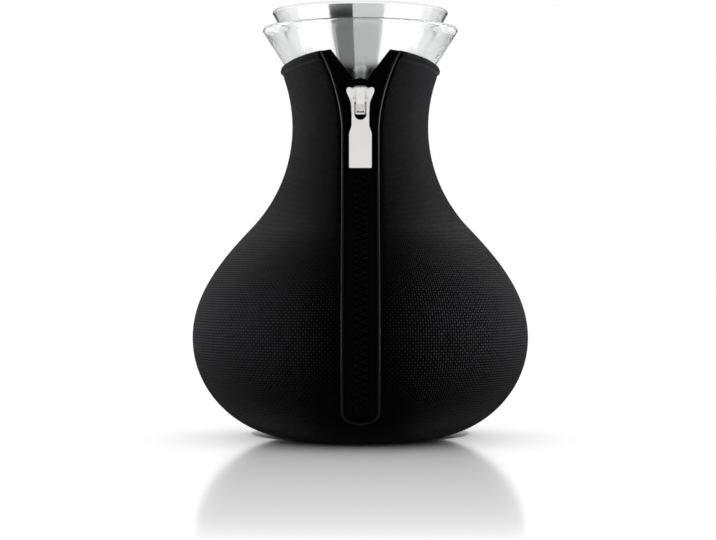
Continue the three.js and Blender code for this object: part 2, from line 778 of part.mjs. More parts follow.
const flapFoot = coneFoot + FLAP_RISE;
const flapRadius = coneRadius(flapFoot) - coneHalf - FIT;
const hingeHeight = flapFoot + FLAP_SHEET + KNUCKLE_RADIUS;
const flapEdge = HINGE_BACK - KNUCKLE_RADIUS - FIT;
const lugOuter = KNUCKLE_HALF + FIT + LUG_LENGTH;

function flapDish() {
  return solid(
    revolve(
      [
        point2(0, flapFoot + FLAP_DISH),
        point2(flapRadius - FLAP_BRIM, flapFoot),
        point2(flapRadius, flapFoot),
        point2(flapRadius, flapFoot + FLAP_SHEET),
        point2(flapRadius - FLAP_BRIM, flapFoot + FLAP_SHEET),
        point2(0, flapFoot + FLAP_DISH + FLAP_SHEET),
      ],
      RING_SIDES,
    ),
  );
}

function pinBore() {
  const reach = lugOuter + CUT_SPARE;
  return solid(rodAlongX(PIN_RADIUS + FIT, -reach, reach, HINGE_BACK, hingeHeight));
}

function pourFlap() {
  const reach = 2 * flapRadius;
  const front = solid(box(-reach, reach, -reach, flapEdge, 0, rimTop));
  const knuckle = solid(rodAlongX(KNUCKLE_RADIUS, -KNUCKLE_HALF, KNUCKLE_HALF, HINGE_BACK, hingeHeight));
  const web = solid(
    box(
      -KNUCKLE_HALF + FIT,
      KNUCKLE_HALF - FIT,
      flapEdge - FLAP_SHEET,
      HINGE_BACK,
      hingeHeight - KNUCKLE_RADIUS,
      hingeHeight - PIN_RADIUS,
    ),
  );
  return geometryOf(flapDish().intersect(front).add(knuckle).add(web).subtract(pinBore()));
}

// The fixed back of the lid, which carries the hinge.
function flapBracket() {
  const reach = 2 * flapRadius;
  const back = solid(box(-reach, reach, flapEdge + FIT, reach, 0, rimTop));
  const notch = solid(
    box(
      -KNUCKLE_HALF - FIT,
      KNUCKLE_HALF + FIT,
      0,
      HINGE_BACK + KNUCKLE_RADIUS + FIT,
      flapFoot - CUT_SPARE,
      rimTop,
    ),
  );
  let bracket = flapDish().intersect(back).subtract(notch);
  for (const side of [-1, 1]) {
    const inner = side * (KNUCKLE_HALF + FIT);
    const ends = [inner, side * lugOuter].sort((a, b) => a - b);
    bracket = bracket.add(solid(rodAlongX(KNUCKLE_RADIUS, ends[0], ends[1], HINGE_BACK, hingeHeight)));
  }
  return geometryOf(bracket.subtract(pinBore()));
}

function flapPin() {
  return rodAlongX(PIN_RADIUS, -lugOuter, lugOuter, HINGE_BACK, hingeHeight);
}

// Tea egg

const spiderFoot = collarFoot + SPIDER_RISE;
const capTop = spiderFoot - STEM_LENGTH;
const skirtInside = EGG_RADIUS + FIT;
const skirtOutside = skirtInside + EGG_WALL;
const skirtFoot = capTop - CAP_DOME - CAP_SKIRT;
const cupRim = skirtFoot + CUP_OVERLAP;
const cupFoot = cupRim - CUP_LENGTH;
const bayonetHeight = cupRim - BAYONET_DROP;

// A ring and a hub joined by three arms, held in the collar.
function eggSpider() {
  const ringOut = collarInside - FIT;
  const ringIn = ringOut - SPIDER_RING;
  const wheel = new THREE.Shape();
  wheel.absarc(0, 0, ringOut, 0, 2 * Math.PI, false);
  for (let k = 0; k < 3; k += 1) {
    const from = (2 * Math.PI * k) / 3 + SPIDER_ARM / 2;
    const to = (2 * Math.PI * (k + 1)) / 3 - SPIDER_ARM / 2;
    const gap = new THREE.Path();
    gap.absarc(0, 0, ringIn, from, to, false);
    gap.absarc(0, 0, SPIDER_HUB, to, from, true);
    gap.closePath();
    wheel.holes.push(gap);
  }
  const bore = new THREE.Path();
  bore.absarc(0, 0, STEM_RADIUS + FIT, 0, 2 * Math.PI, true);
  wheel.holes.push(bore);
  return extrude(wheel, SPIDER_THICKNESS).translate(0, 0, spiderFoot);
}

// A rod riveted through the spider's hub and the cap, with a shoulder on the near side of each.
function eggStem() {
  const top = spiderFoot + SPIDER_THICKNESS + FIT;
  const under = spiderFoot - FIT;
  const low = capTop + FIT;
  const inside = capTop - EGG_WALL - FIT;
  return revolve(
    [
      point2(0, top + STEM_HEAD),
      point2(STEM_HEAD_RADIUS, top + STEM_HEAD),
      point2(STEM_HEAD_RADIUS, top),
      point2(STEM_RADIUS, top),
      point2(STEM_RADIUS, under),
      point2(STEM_HEAD_RADIUS, under),
      point2(STEM_HEAD_RADIUS, under - STEM_HEAD),
      point2(STEM_RADIUS, under - STEM_HEAD - STEM_TAPER),
      point2(STEM_RADIUS, low + STEM_HEAD + STEM_TAPER),
      point2(STEM_HEAD_RADIUS, low + STEM_HEAD),
      point2(STEM_HEAD_RADIUS, low),
      point2(STEM_RADIUS, low),
      point2(STEM_RADIUS, inside),
      point2(STEM_HEAD_RADIUS, inside),
      point2(STEM_HEAD_RADIUS, inside - STEM_HEAD),
      point2(0, inside - STEM_HEAD),
    ],
    RING_SIDES / 2,
  );
}

// Part of a ring of box section, between two turns about Z.
function ringSlice(inner, outer, low, high, from, to) {
  const turns = places(from, to, SLICE_TURN);
  return loft(
    turns.map((turn) => {
      const way = point2(Math.cos(turn), Math.sin(turn));
      const at = (radius, height) => new THREE.Vector3(radius * way.x, radius * way.y, height);
      return [at(inner, low), at(outer, low), at(outer, high), at(inner, high)];
    }),
  );
}

function eggCap() {
  const dome = (flat, edge, top, drop) =>
    new THREE.QuadraticBezierCurve(
      point2(flat, top),
      point2(edge, top),
      point2(edge, top - drop),
    ).getPoints(CURVE_STEPS);
  const hole = STEM_RADIUS + FIT;
  const profile = [
    point2(hole, capTop),
    ...dome(CAP_FLAT, skirtOutside, capTop, CAP_DOME),
    point2(skirtOutside, skirtFoot),
    point2(skirtInside, skirtFoot),
    ...dome(CAP_FLAT, skirtInside, capTop - EGG_WALL, CAP_DOME).reverse(),
    point2(hole, capTop - EGG_WALL),
  ];
  let cap = solid(revolve([...profile, profile[0]], RING_SIDES));
  const halfSlot = BAYONET_PIN + FIT;
  const halfTurn = halfSlot / EGG_RADIUS;
  for (const start of [0, Math.PI]) {
    const inner = EGG_RADIUS - EGG_WALL;
    const outer = skirtOutside + BAYONET_REACH;
    const low = bayonetHeight - halfSlot;
    const high = bayonetHeight + halfSlot;
    const end = start + BAYONET_TURN + 2 * halfTurn;
    const run = ringSlice(inner, outer, low, high, start - halfTurn, end);
    const entry = ringSlice(inner, outer, skirtFoot - CUT_SPARE, high, end - 2 * halfTurn, end);
    cap = cap.subtract(solid(run)).subtract(solid(entry));
  }
  return geometryOf(cap);
}

function eggCup() {
  const round = (radius, foot) =>
    new THREE.QuadraticBezierCurve(
      point2(radius - CUP_ROUND, foot),
      point2(radius, foot),
      point2(radius, cupFoot + CUP_ROUND),
    ).getPoints(CURVE_STEPS);
  const profile = [
    point2(0, cupFoot),
    ...round(EGG_RADIUS, cupFoot),
    point2(EGG_RADIUS, cupRim),
    point2(EGG_RADIUS - EGG_WALL, cupRim),
    ...round(EGG_RADIUS - EGG_WALL, cupFoot + EGG_WALL).reverse(),
    point2(0, cupFoot + EGG_WALL),
  ];
  let cup = solid(revolve(profile, 2 * HOLE_COLUMNS));
  for (const side of [-1, 1]) {
    const reach = skirtOutside + BAYONET_REACH;
    const ends = [side * (EGG_RADIUS - EGG_WALL), side * reach].sort((a, b) => a - b);
    const pin = rodAlongX(BAYONET_PIN, ends[0], ends[1], 0, bayonetHeight, BAYONET_SIDES);
    cup = cup.add(solid(pin));
  }
  const drillLength = EGG_WALL + 2 * CUT_SPARE;
  const drill = () => new THREE.CylinderGeometry(HOLE_RADIUS, HOLE_RADIUS, drillLength, HOLE_SIDES);
  for (let row = 0; row < HOLE_ROWS; row += 1) {
    for (let column = 0; column < HOLE_COLUMNS; column += 1) {
      const hole = drill().rotateZ(Math.PI / 2);
      hole.translate(EGG_RADIUS - EGG_WALL / 2, 0, cupFoot + CUP_ROUND + HOLE_RADIUS + HOLE_STEP * row);
      hole.rotateZ((2 * Math.PI * (column + 0.5 + (row % 2) / 2)) / HOLE_COLUMNS);
      cup = cup.subtract(solid(hole));
    }
  }
  for (let k = 0; k < FLOOR_HOLES; k += 1) {
    const hole = drill().rotateX(Math.PI / 2);
    hole.translate(FLOOR_HOLE_RING, 0, cupFoot + EGG_WALL / 2);
    hole.rotateZ((2 * Math.PI * k) / FLOOR_HOLES);
    cup = cup.subtract(solid(hole));
  }
  return geometryOf(cup);
}

// Finishes

const finish = (color, roughness, metalness, more = {}) =>
  new THREE.MeshStandardMaterial({ color, roughness, metalness, ...more });
const glass = finish(0xf2f6f5, 0.03, 0, { transparent: true, opacity: 0.25 });
const cloth = finish(0x15151a, 0.9, 0);
const satin = finish(0x222226, 0.5, 0);
const weave = finish(0x141416, 0.8, 0);
const plastic = finish(0x1c1c1e, 0.45, 0);
const nickel = finish(0xc9c9c6, 0.35, 0.9);
const polished = finish(0xd5d7d8, 0.08, 1);
const brushed = finish(0xbfc2c4, 0.3, 1);
const silicone = finish(0x2a2a2c, 0.7, 0);

// Assembly

function piece(name, geometry, material) {
  const mesh = new THREE.Mesh(geometry, material.clone());
  mesh.name = name;
  return mesh;
}

const teaMaker = new THREE.Group();
const shell = jacketShell();
teaMaker.add(
  piece("glass_flask", glassFlask(), glass),
  piece("jacket_left", jacketHalf(shell, -1), cloth),
  piece("jacket_right", jacketHalf(shell, 1), cloth),
  piece("zip_binding", zipBinding(), satin),
  piece("zip_tape_left", zipTape(-1), weave),
  piece("zip_tape_right", zipTape(1), weave),
  piece("zip_teeth_left", zipTeeth(-1), plastic),
  piece("zip_teeth_right", zipTeeth(1), plastic),
  piece("zip_top_stop", topStop(), weave),
  piece("zip_bottom_stop", bottomStop(), plastic),
  piece("pouring_funnel", pouringFunnel(), polished),
  piece("neck_gasket", neckGasket(), silicone),
  piece("flap_bracket", flapBracket(), brushed),
  piece("flap_pin", flapPin(), brushed),
  piece("pour_flap", pourFlap(), brushed),
  piece("egg_spider", eggSpider(), brushed),
  piece("egg_stem", eggStem(), brushed),
  piece("egg_cap", eggCap(), brushed),
  piece("egg_cup", eggCup(), brushed),
);

// The slider stands on the neck curve, and the puller hangs from its bridge.
const slider = new THREE.Group();
slider.position.set(
  0,
  NECK_CURVE * Math.cos(SLIDER_TURN) - neckCentre.x,
  neckCentre.y + NECK_CURVE * Math.sin(SLIDER_TURN),
);
slider.rotation.x = Math.PI / 2 + SLIDER_TURN;
slider.add(piece("slider_body", sliderBody(), nickel), piece("slider_bridge", sliderBridge(), nickel));

const puller = piece("zip_puller", zipPuller(), nickel);
puller.position.z = pivotHeight;
puller.rotation.x = -SLIDER_TURN - PULLER_LEAN;
slider.add(puller);
teaMaker.add(slider);

export default teaMaker;
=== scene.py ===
"""Tea maker: a glass flask in a black zip jacket with a steel pouring funnel, around its jointed frame."""

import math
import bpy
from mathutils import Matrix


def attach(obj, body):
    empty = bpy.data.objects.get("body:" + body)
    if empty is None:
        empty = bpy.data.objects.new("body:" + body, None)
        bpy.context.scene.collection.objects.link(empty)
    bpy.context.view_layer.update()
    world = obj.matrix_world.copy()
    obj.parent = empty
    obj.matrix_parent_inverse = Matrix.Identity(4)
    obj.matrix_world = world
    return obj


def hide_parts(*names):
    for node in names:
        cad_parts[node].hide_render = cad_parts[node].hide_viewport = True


bl_info = {
    "name": "Tea Maker",
    "version": (1, 0, 0),
    "blender": (4, 5, 0),
    "location": "View3D > Sidebar > Tea Maker",
    "description": "Builds a tea maker in a zip jacket around its jointed frame",
    "category": "Add Mesh",
}

import bmesh
import bpy
import numpy as np
from bpy.props import FloatProperty, FloatVectorProperty, PointerProperty
from mathutils import Vector

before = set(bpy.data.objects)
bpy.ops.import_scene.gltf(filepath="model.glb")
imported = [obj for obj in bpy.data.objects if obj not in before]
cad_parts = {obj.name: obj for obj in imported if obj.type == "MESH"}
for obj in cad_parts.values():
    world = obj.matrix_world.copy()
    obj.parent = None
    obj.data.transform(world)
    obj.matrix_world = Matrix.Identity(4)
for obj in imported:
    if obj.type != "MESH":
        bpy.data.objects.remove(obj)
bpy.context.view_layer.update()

FIT = 0.0003  # between pieces that touch
WELD = 1e-7  # points nearer than this are one
SHARP = math.radians(35)  # edges that turn more than this stay sharp
FULL_TURN = 2 * math.pi
SIDES = ((-1, "left"), (1, "right"))


# Sizes and colours that a user would change


def length(name, description, default):
    """A size in metres, shown with its unit."""
    return FloatProperty(name=name, description=description, default=default, unit="LENGTH", precision=5)


def angle(name, description, degrees):
    """An angle, given in degrees."""
    return FloatProperty(name=name, description=description, default=math.radians(degrees), unit="ROTATION")


def linear(code):
    """An sRGB hex colour, such as 1a2b3c, as linear red, green, blue and alpha."""
    srgb = np.array([int(code[k : k + 2], 16) for k in (0, 2, 4)]) / 255
    low = srgb / 12.92
    high = ((srgb + 0.055) / 1.055) ** 2.4
    return (*(float(v) for v in np.where(srgb <= 0.04045, low, high)), 1.0)


def colour(name, description, default):
    """A colour, given as sRGB hex and kept as linear light."""
    return FloatVectorProperty(
        name=name, description=description, default=linear(default), subtype="COLOR", size=4, min=0, max=1
    )


class JacketSizes(bpy.types.PropertyGroup):
    belly_radius: length("Belly radius", "Widest radius of the jacket", 0.0827)
    belly_height: length("Belly height", "Height of the widest place", 0.0495)
    base_radius: length("Base radius", "Radius of the flat that it stands on", 0.030)
    neck_radius: length("Neck radius", "Narrowest radius of the jacket", 0.0336)
    neck_height: length("Neck height", "Height of the narrowest place", 0.1534)
    neck_curve: length("Neck curve", "Radius of the hollow curve of the neck", 0.072)
    neck_sweep: angle("Neck sweep", "Turn of the hollow curve below the neck", 44)
    belly_handle: length("Belly handle", "Pull of the shoulder curve at the belly", 0.019)
    shoulder_handle: length("Shoulder handle", "Pull of the shoulder curve at its top", 0.026)
    wall: length("Wall", "Thickness of the padded cloth", 0.004)
    hem_rise: length("Hem rise", "From the neck to the hem at the sides", 0.0289)
    hem_peak: length("Hem peak", "How much higher the hem stands at the front", 0.0053)
    hem_band: length("Hem band", "Height of the turned hem", 0.0046)
    weave: length("Weave", "Thread spacing of the cloth", 0.0013)
    thread: colour("Thread", "Colour of the raised threads", "2c2c2e")
    # Shade is painted shade: the weave draws it in the hollows between the threads, and the thread colour on
    # their crowns
    shade: colour("Shade", "Colour between the threads", "030303")


class ZipSizes(bpy.types.PropertyGroup):
    slot_half: length("Slot half width", "Half the width of the slot for the zip", 0.0092)
    slot_foot: length("Slot foot", "From the flat base along the jacket to the slot", 0.0357)
    slot_flare: length("Slot flare", "How much the slot widens to each side at the hem", 0.0103)
    chain_half: length("Chain half width", "Half the width of the closed chain", 0.0035)
    tooth_pitch: length("Tooth pitch", "Spacing of the teeth on one side", 0.0037)
    binding: colour("Binding", "Colour of the bound edge", "0f0f10")
    tape: colour("Tape", "Colour of the zip tape", "0a0a0b")
    teeth: colour("Teeth", "Colour of the moulded teeth", "050505")
    metal: colour("Metal", "Colour of the slider and the puller", "dedddb")


class VesselSizes(bpy.types.PropertyGroup):
    glass_wall: length("Glass wall", "Thickness of the glass", 0.0022)
    lip_radius: length("Lip radius", "Radius that the flare reaches at the height of the lip", 0.04904)
    lip_rise: length("Lip rise", "From the neck of the jacket to the glass lip", 0.0486)
    flare_angle: angle("Flare angle", "Lean of the flared glass", 32.7)
    flare_fillet: length("Flare fillet", "Radius between the neck and the flare", 0.030)
    rim_radius: length("Rim radius", "Radius of the funnel's rim", 0.0433)
    rim_rise: length("Rim rise", "From the glass lip to the funnel's rim", 0.0086)
    cone_angle: angle("Cone angle", "Lean of the funnel's cone", 27.65)
    steel: colour("Steel", "Colour of the polished funnel", "f0f1f1")
    inner_steel: colour("Inner steel", "Colour of the satin steel inside", "c6c8c9")
    silicone: colour("Silicone", "Colour of the gasket", "232324")


class StageSizes(bpy.types.PropertyGroup):
    distance: length("Camera distance", "From the camera to the axis of the flask", 0.965)
    height: length("Camera height", "Height of the camera", 0.0829)
    aside: length("Camera offset", "Sideways place of the camera", -0.00114)
    lens: FloatProperty(name="Lens", description="Focal length in millimetres", default=98.04)
    floor: colour("Floor", "Colour of the floor", "fbfbfb")


GROUPS = {"tea_jacket": JacketSizes, "tea_zip": ZipSizes, "tea_vessel": VesselSizes, "tea_stage": StageSizes}


# Materials


def fill(node, sockets):
    """Fills a node's sockets with values, or with links from other nodes' sockets."""
    for name, value in sockets.items():
        if isinstance(value, bpy.types.NodeSocket):
            node.id_data.links.new(value, node.inputs[name])
        else:
            node.inputs[name].default_value = value


def add_node(tree, kind, sockets=None, **settings):
    """Adds a shader node with its settings, values and links, and gives its outputs."""
    made = tree.nodes.new("ShaderNode" + kind)
    for name, value in settings.items():
        setattr(made, name, value)
    fill(made, sockets or {})
    return made.outputs


def new_finish(name):
    """A material with its tree and its Principled shader."""
    material = bpy.data.materials.new(name)
    material.use_nodes = True
    tree = material.node_tree
    return material, tree, tree.nodes["Principled BSDF"]


THREAD_CONTRAST = 0.5  # between the warp and the weft
WEAVE_RELIEF = 0.6


def woven_cloth(name, pitch, thread, shade, gloss, sheen):
    """Plain weave in black polyester: each crossing is a small pillow, warp and weft take turns on top.

    The cloth attribute gives the place on the cloth in metres. The pillow is |sin(pi x)| |sin(pi y)| over the
    thread spacing, which is drawn a little coarser than real so that it shows. Neighbouring crossings differ
    in shade, as threads that run across each other do.
    """
    material, tree, shader = new_finish(name)
    place = add_node(tree, "Attribute", attribute_name="cloth")["Vector"]
    scaled = add_node(tree, "VectorMath", {0: place, "Scale": 1 / pitch}, operation="SCALE")[0]
    waves = []
    for at in add_node(tree, "SeparateXYZ", {0: scaled})[:2]:
        turn = add_node(tree, "Math", {0: at, 1: math.pi}, operation="MULTIPLY")[0]
        wave = add_node(tree, "Math", {0: turn}, operation="SINE")[0]
        waves.append(add_node(tree, "Math", {0: wave}, operation="ABSOLUTE")[0])
    pillow = add_node(tree, "Math", dict(enumerate(waves)), operation="MULTIPLY")[0]
    over = add_node(tree, "TexChecker", {"Vector": scaled, "Scale": 1.0})["Fac"]
    fleck = add_node(tree, "TexNoise", {"Vector": scaled, "Scale": 0.35, "Detail": 3.0})["Fac"]
    shaded = add_node(tree, "Math", {0: over, 1: THREAD_CONTRAST, 2: fleck}, operation="MULTIPLY_ADD")[0]
    light = add_node(tree, "Math", {0: pillow, 1: shaded}, operation="MULTIPLY")[0]
    # Painted shade: the colour runs with the pillow from the shade colour between the threads to the thread
    # colour on their crowns
    mixed = add_node(tree, "Mix", {"Factor": light, "A": shade, "B": thread}, data_type="RGBA")["Result"]
    relief = {"Strength": WEAVE_RELIEF, "Distance": pitch / 4, "Height": pillow}
    bump = add_node(tree, "Bump", relief)["Normal"]
    fill(shader, {"Base Color": mixed, "Normal": bump, "Roughness": 0.8, "Specular IOR Level": gloss})
    fill(shader, {"Sheen Weight": sheen, "Sheen Roughness": 0.3, "Sheen Tint": (1, 1, 1, 1)})
    return material


def grained(name, tint, metallic, roughness, spread, grain, relief, gloss=0.5):
    """A smooth surface with fine grain: noise of a real grain size moves its roughness and relief."""
    material, tree, shader = new_finish(name)
    place = add_node(tree, "TexCoord")["Object"]
    noise = add_node(tree, "TexNoise", {"Vector": place, "Scale": 1 / grain, "Detail": 4.0})["Fac"]
    span = {"Value": noise, "To Min": roughness - spread, "To Max": roughness + spread}
    rough = add_node(tree, "MapRange", span)["Result"]
    bump = add_node(tree, "Bump", {"Strength": relief, "Distance": grain / 4, "Height": noise})["Normal"]
    fill(shader, {"Base Color": tint, "Metallic": metallic, "Specular IOR Level": gloss})
    fill(shader, {"Roughness": rough, "Normal": bump})
    return material


GAP_REACH = 0.003
GAP_SHADE_SHARES = (0.3, 0.55)  # of open space, below which the painted shade is full and above which there is none
GAP_SAMPLES = 16


def paint_gap_shade(material, tint, dark):
    """Paints shade into a plating's colour in narrow gaps, where little light reaches: by the share of open
    space within a reach.
    """
    tree = material.node_tree
    share = add_node(tree, "AmbientOcclusion", {"Distance": GAP_REACH}, samples=GAP_SAMPLES)["AO"]
    span = {"Value": share, "From Min": GAP_SHADE_SHARES[0], "From Max": GAP_SHADE_SHARES[1]}
    # Painted shade: where little space is open, the colour goes from the tint to the shade colour; clear is
    # where none is painted
    clear = add_node(tree, "MapRange", span)["Result"]
    mixed = add_node(tree, "Mix", {"Factor": clear, "A": dark, "B": tint}, data_type="RGBA")["Result"]
    fill(tree.nodes["Principled BSDF"], {"Base Color": mixed})


def spun_steel(name, tint, roughness):
    """Steel that was spun and polished: fine grooves run round it, so mirror images smear up and down."""
    material, tree, shader = new_finish(name)
    grooves = add_node(tree, "Tangent", direction_type="RADIAL", axis="Z")["Tangent"]
    fill(shader, {"Base Color": tint, "Metallic": 1.0, "Roughness": roughness})
    fill(shader, {"Anisotropic": 1.0, "Anisotropic Rotation": 0.25, "Tangent": grooves})
    return material


LIP_DEPTHS = (0.0042, 0.0022)  # below the top of the lip, where the wall ends and where the lip starts
WALL_AND_LIP = {"IOR": (1.3, 1.5), "Alpha": (0.65, 1.0)}


def clear_glass(name, lip):
    """Blown soda glass: clear, with a faint grey-green body, and slow waves from blowing.

    The wall has a lower index and opacity than real glass, so that it stays pale in white surroundings. They
    rise to the full ones of glass at the lip, which shows as a pale line.
    """
    material, tree, shader = new_finish(name)
    place = add_node(tree, "TexCoord")["Object"]
    height = add_node(tree, "SeparateXYZ", {0: place})["Z"]
    low, high = (lip - depth for depth in LIP_DEPTHS)
    for socket, (wall, full) in WALL_AND_LIP.items():
        span = {"Value": height, "From Min": low, "From Max": high, "To Min": wall, "To Max": full}
        fill(shader, {socket: add_node(tree, "MapRange", span)["Result"]})
    waves = add_node(tree, "TexNoise", {"Vector": place, "Scale": 30.0, "Detail": 1.0})["Fac"]
    bump = add_node(tree, "Bump", {"Strength": 0.008, "Distance": 0.0005, "Height": waves})["Normal"]
    fill(shader, {"Base Color": linear("fbfdfc"), "Normal": bump})
    fill(shader, {"Roughness": 0.0, "Transmission Weight": 1.0})
    return material


TAPE_WEAVE = 0.0006  # thread spacing
MATERIALS = {}


def make_materials(scene):
    """All the finishes of the object, by the record's slot names."""
    jacket, zip_, vessel = scene.tea_jacket, scene.tea_zip, scene.tea_vessel
    metal, black = zip_.metal[:], linear("030303")
    # Woven polyester: matte, with a soft sheen at its edges
    MATERIALS["jacket"] = woven_cloth(
        "woven_polyester", jacket.weave, jacket.thread[:], jacket.shade[:], gloss=0.0, sheen=0.17
    )
    # Woven polyester tape: a finer thread, flat and dark
    # Its hollows between the threads get painted shade in black, as the jacket's do
    MATERIALS["tape"] = woven_cloth(
        "woven_zip_tape", TAPE_WEAVE, zip_.tape[:], black, gloss=0.03, sheen=0.02
    )
    # Pressed satin ribbon: smooth and a little shiny along its fold
    binding = zip_.binding[:]
    MATERIALS["binding"] = grained(
        "satin_binding", binding, 0.0, roughness=0.65, spread=0.06, grain=0.0004, relief=0.15, gloss=0.1
    )
    # Injection-moulded acetal: smooth, with a low gloss
    teeth = zip_.teeth[:]
    MATERIALS["teeth"] = grained(
        "moulded_acetal", teeth, 0.0, roughness=0.4, spread=0.05, grain=0.0006, relief=0.08, gloss=0.02
    )
    # Die-cast zinc with a blasted nickel plate: pale, with a fine grit
    MATERIALS["nickel"] = grained(
        "blasted_nickel", metal, 1.0, roughness=0.42, spread=0.08, grain=0.0003, relief=0.2
    )
    # Painted shade: the plating's colour darkens in the narrow gaps of the slider and the puller
    paint_gap_shade(MATERIALS["nickel"], metal, linear("141414"))
    # Spun and polished stainless steel: near a mirror
    MATERIALS["polished_steel"] = spun_steel("spun_stainless", vessel.steel[:], roughness=0.2)
    # Pressed stainless steel with a satin finish
    MATERIALS["satin_steel"] = grained(
        "satin_stainless", vessel.inner_steel[:], 1.0, roughness=0.28, spread=0.06, grain=0.0005, relief=0.08
    )
    # Moulded silicone rubber: matte
    MATERIALS["silicone"] = grained(
        "moulded_silicone", vessel.silicone[:], 0.0, roughness=0.6, spread=0.08, grain=0.0005, relief=0.1
    )
    MATERIALS["glass"] = clear_glass("clear_glass", jacket.neck_height + vessel.lip_rise)


def material_of(slot):
    """The finish of a slot; all of them are made when the first piece asks for one."""
    if not MATERIALS:
        make_materials(bpy.context.scene)
    return MATERIALS[slot]


# Meshes


def grid_faces(rows, columns, start=0, closed_rows=False, closed_columns=False):
    """The quads of a grid of points, in row order. A closed direction joins its last line to its first."""
    i = np.arange(rows if closed_rows else rows - 1)
    j = np.arange(columns if closed_columns else columns - 1)
    i, j = (k.ravel() for k in np.meshgrid(i, j, indexing="ij"))
    here, below = i * columns, (i + 1) % rows * columns
    beside = (j + 1) % columns
    return start + np.stack([here + j, here + beside, below + beside, below + j], axis=1)


class Shape:
    """Points, faces and cloth places that are collected for one mesh."""

    def __init__(self):
        self.points = []
        self.faces = []
        self.cloth = []
        self.count = 0

    def grid(self, points, closed_rows=False, closed_columns=False, cloth=None):
        """Adds a grid of points, open or closed in each direction."""
        rows, columns = points.shape[:2]
        self.faces += grid_faces(rows, columns, self.count, closed_rows, closed_columns).tolist()
        self.points.append(points.reshape(-1, 3))
        self.cloth.append(np.zeros((rows * columns, 3)) if cloth is None else cloth.reshape(-1, 3))
        self.count += rows * columns
        return self

    def bar(self, points, cloth=None):
        """Adds closed sections along a path, with a flat cap on the first and the last."""
        rows, columns = points.shape[:2]
        ring = self.count + np.arange(columns)
        self.grid(points, closed_columns=True, cloth=cloth)
        self.faces += [ring[::-1].tolist(), (ring + (rows - 1) * columns).tolist()]
        return self

    def mesh(self, name, material):
        """The mesh of all the grids."""
        made = bpy.data.meshes.new(name)
        made.from_pydata(np.concatenate(self.points), [], self.faces)
        made.materials.append(material)
        return made


def add_object(name, data):
    """Puts an object of a mesh, a lamp or a camera into the scene."""
    made = bpy.data.objects.new(name, data)
    bpy.context.collection.objects.link(made)
    return made


def add_piece(name, shape, body, slot, *nodes):
    """Makes the mesh, welds its poles and seams, points its faces outwards and puts it on its body."""
    mesh = shape.mesh(name, material_of(slot))
    cloth = mesh.attributes.new("cloth", "FLOAT_VECTOR", "POINT")
    cloth.data.foreach_set("vector", np.concatenate(shape.cloth).ravel())
    made = bmesh.new()
    made.from_mesh(mesh)
    bmesh.ops.remove_doubles(made, verts=made.verts, dist=WELD)
    bmesh.ops.dissolve_degenerate(made, edges=made.edges, dist=WELD)
    bmesh.ops.recalc_face_normals(made, faces=made.faces)
    made.to_mesh(mesh)
    made.free()
    mesh.shade_smooth()
    mesh.set_sharp_from_angle(angle=SHARP)
    piece = add_object(name, mesh)
    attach(piece, body)
    if nodes:
        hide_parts(*nodes)
    return piece


def about_axis(radius, turn, height):
    """Points by their turn from the front about the axis: x = r sin t, y = -r cos t, z = h."""
    return np.stack(np.broadcast_arrays(radius * np.sin(turn), -radius * np.cos(turn), height), axis=-1)


def lathe(profile, sides):
    """A profile of (radius, height) turned right round the axis."""
    turns = np.linspace(0, FULL_TURN, sides, endpoint=False)
    return about_axis(profile[:, 0, None], turns, profile[:, 1, None])


def rounded_square(count, *powers, start=0.0):
    """Cosine and sine round a circle, each drawn out towards the corners of a square by a power below one."""
    t = np.linspace(0, FULL_TURN, count, endpoint=False) + start
    return [np.sign(wave) * np.abs(wave) ** power for wave, power in zip((np.cos(t), np.sin(t)), powers)]


def distances(run):
    """How far each point of a line lies along it."""
    return np.concatenate([[0], np.cumsum(np.linalg.norm(np.diff(run, axis=0), axis=1))])


def directions(run):
    """The way of a line at each of its points, one long."""
    way = np.gradient(run, axis=0)
    return way / np.linalg.norm(way, axis=1, keepdims=True)


def spread_evenly(run, count, closed=False):
    """A flat line with new points at even distances along it. A closed one runs back to its first point."""
    run = np.concatenate([run, run[:1]]) if closed else run
    along = distances(run)
    even = np.linspace(0, along[-1], count, endpoint=not closed)
    return np.column_stack([np.interp(even, along, run[:, k]) for k in (0, 1)])


def smooth_run(points, rounds, closed=False):
    """Rounds the corners of a line: each pass cuts every side at a quarter and three quarters of its way."""
    run = np.asarray(points, dtype=float)
    for _ in range(rounds):
        after = np.roll(run, -1, axis=0) if closed else run[1:]
        before = run if closed else run[:-1]
        cut = np.stack([0.75 * before + 0.25 * after, 0.25 * before + 0.75 * after], axis=1).reshape(-1, 2)
        run = cut if closed else np.concatenate([run[:1], cut, run[-1:]])
    return run


def inset_loop(loop, distance):
    """A closed loop moved inwards, along the normals of its corners. The loop runs anticlockwise."""
    way = np.roll(loop, -1, axis=0) - np.roll(loop, 1, axis=0)
    way /= np.maximum(np.linalg.norm(way, axis=1, keepdims=True), 1e-12)
    return loop + distance * np.stack([-way[:, 1], way[:, 0]], axis=1)


def edge_profile(low, high, edge, steps=4):
    """Inset and height across the thickness of a plate: a quarter circle at each edge."""
    q = np.linspace(0, math.pi / 2, steps)
    inset = edge * (1 - np.sin(q))
    bevel = edge * (1 - np.cos(q))
    return np.concatenate([inset, inset[::-1]]), np.concatenate([low + bevel, high - bevel[::-1]])


def rounded_plate(loop, low, high, edge):
    """A flat plate with rounded edges: the outline at each inset and height across the thickness."""
    profile = zip(*edge_profile(low, high, edge))
    return np.stack([np.column_stack([inset_loop(loop, i), np.full(len(loop), h)]) for i, h in profile])


# The jacket's outline, the slot on its front and the V above the zip


OUTLINE_STEPS = 401  # points on each of its curves
OUTLINE_SPARE = 0.002  # how far the outline runs on above the hem
SLOT_FLARE_POWER = 1.7
SLOT_FLARE_DROP = 0.0034
V_FOOT_HALF = 0.0034
V_TOP_HALF = 0.0143
CLOTH_RADIUS = 0.0827  # where the weave has its true spacing
CLOTH_CENTRE = 0.02  # nearer the axis the weave isn't drawn finer


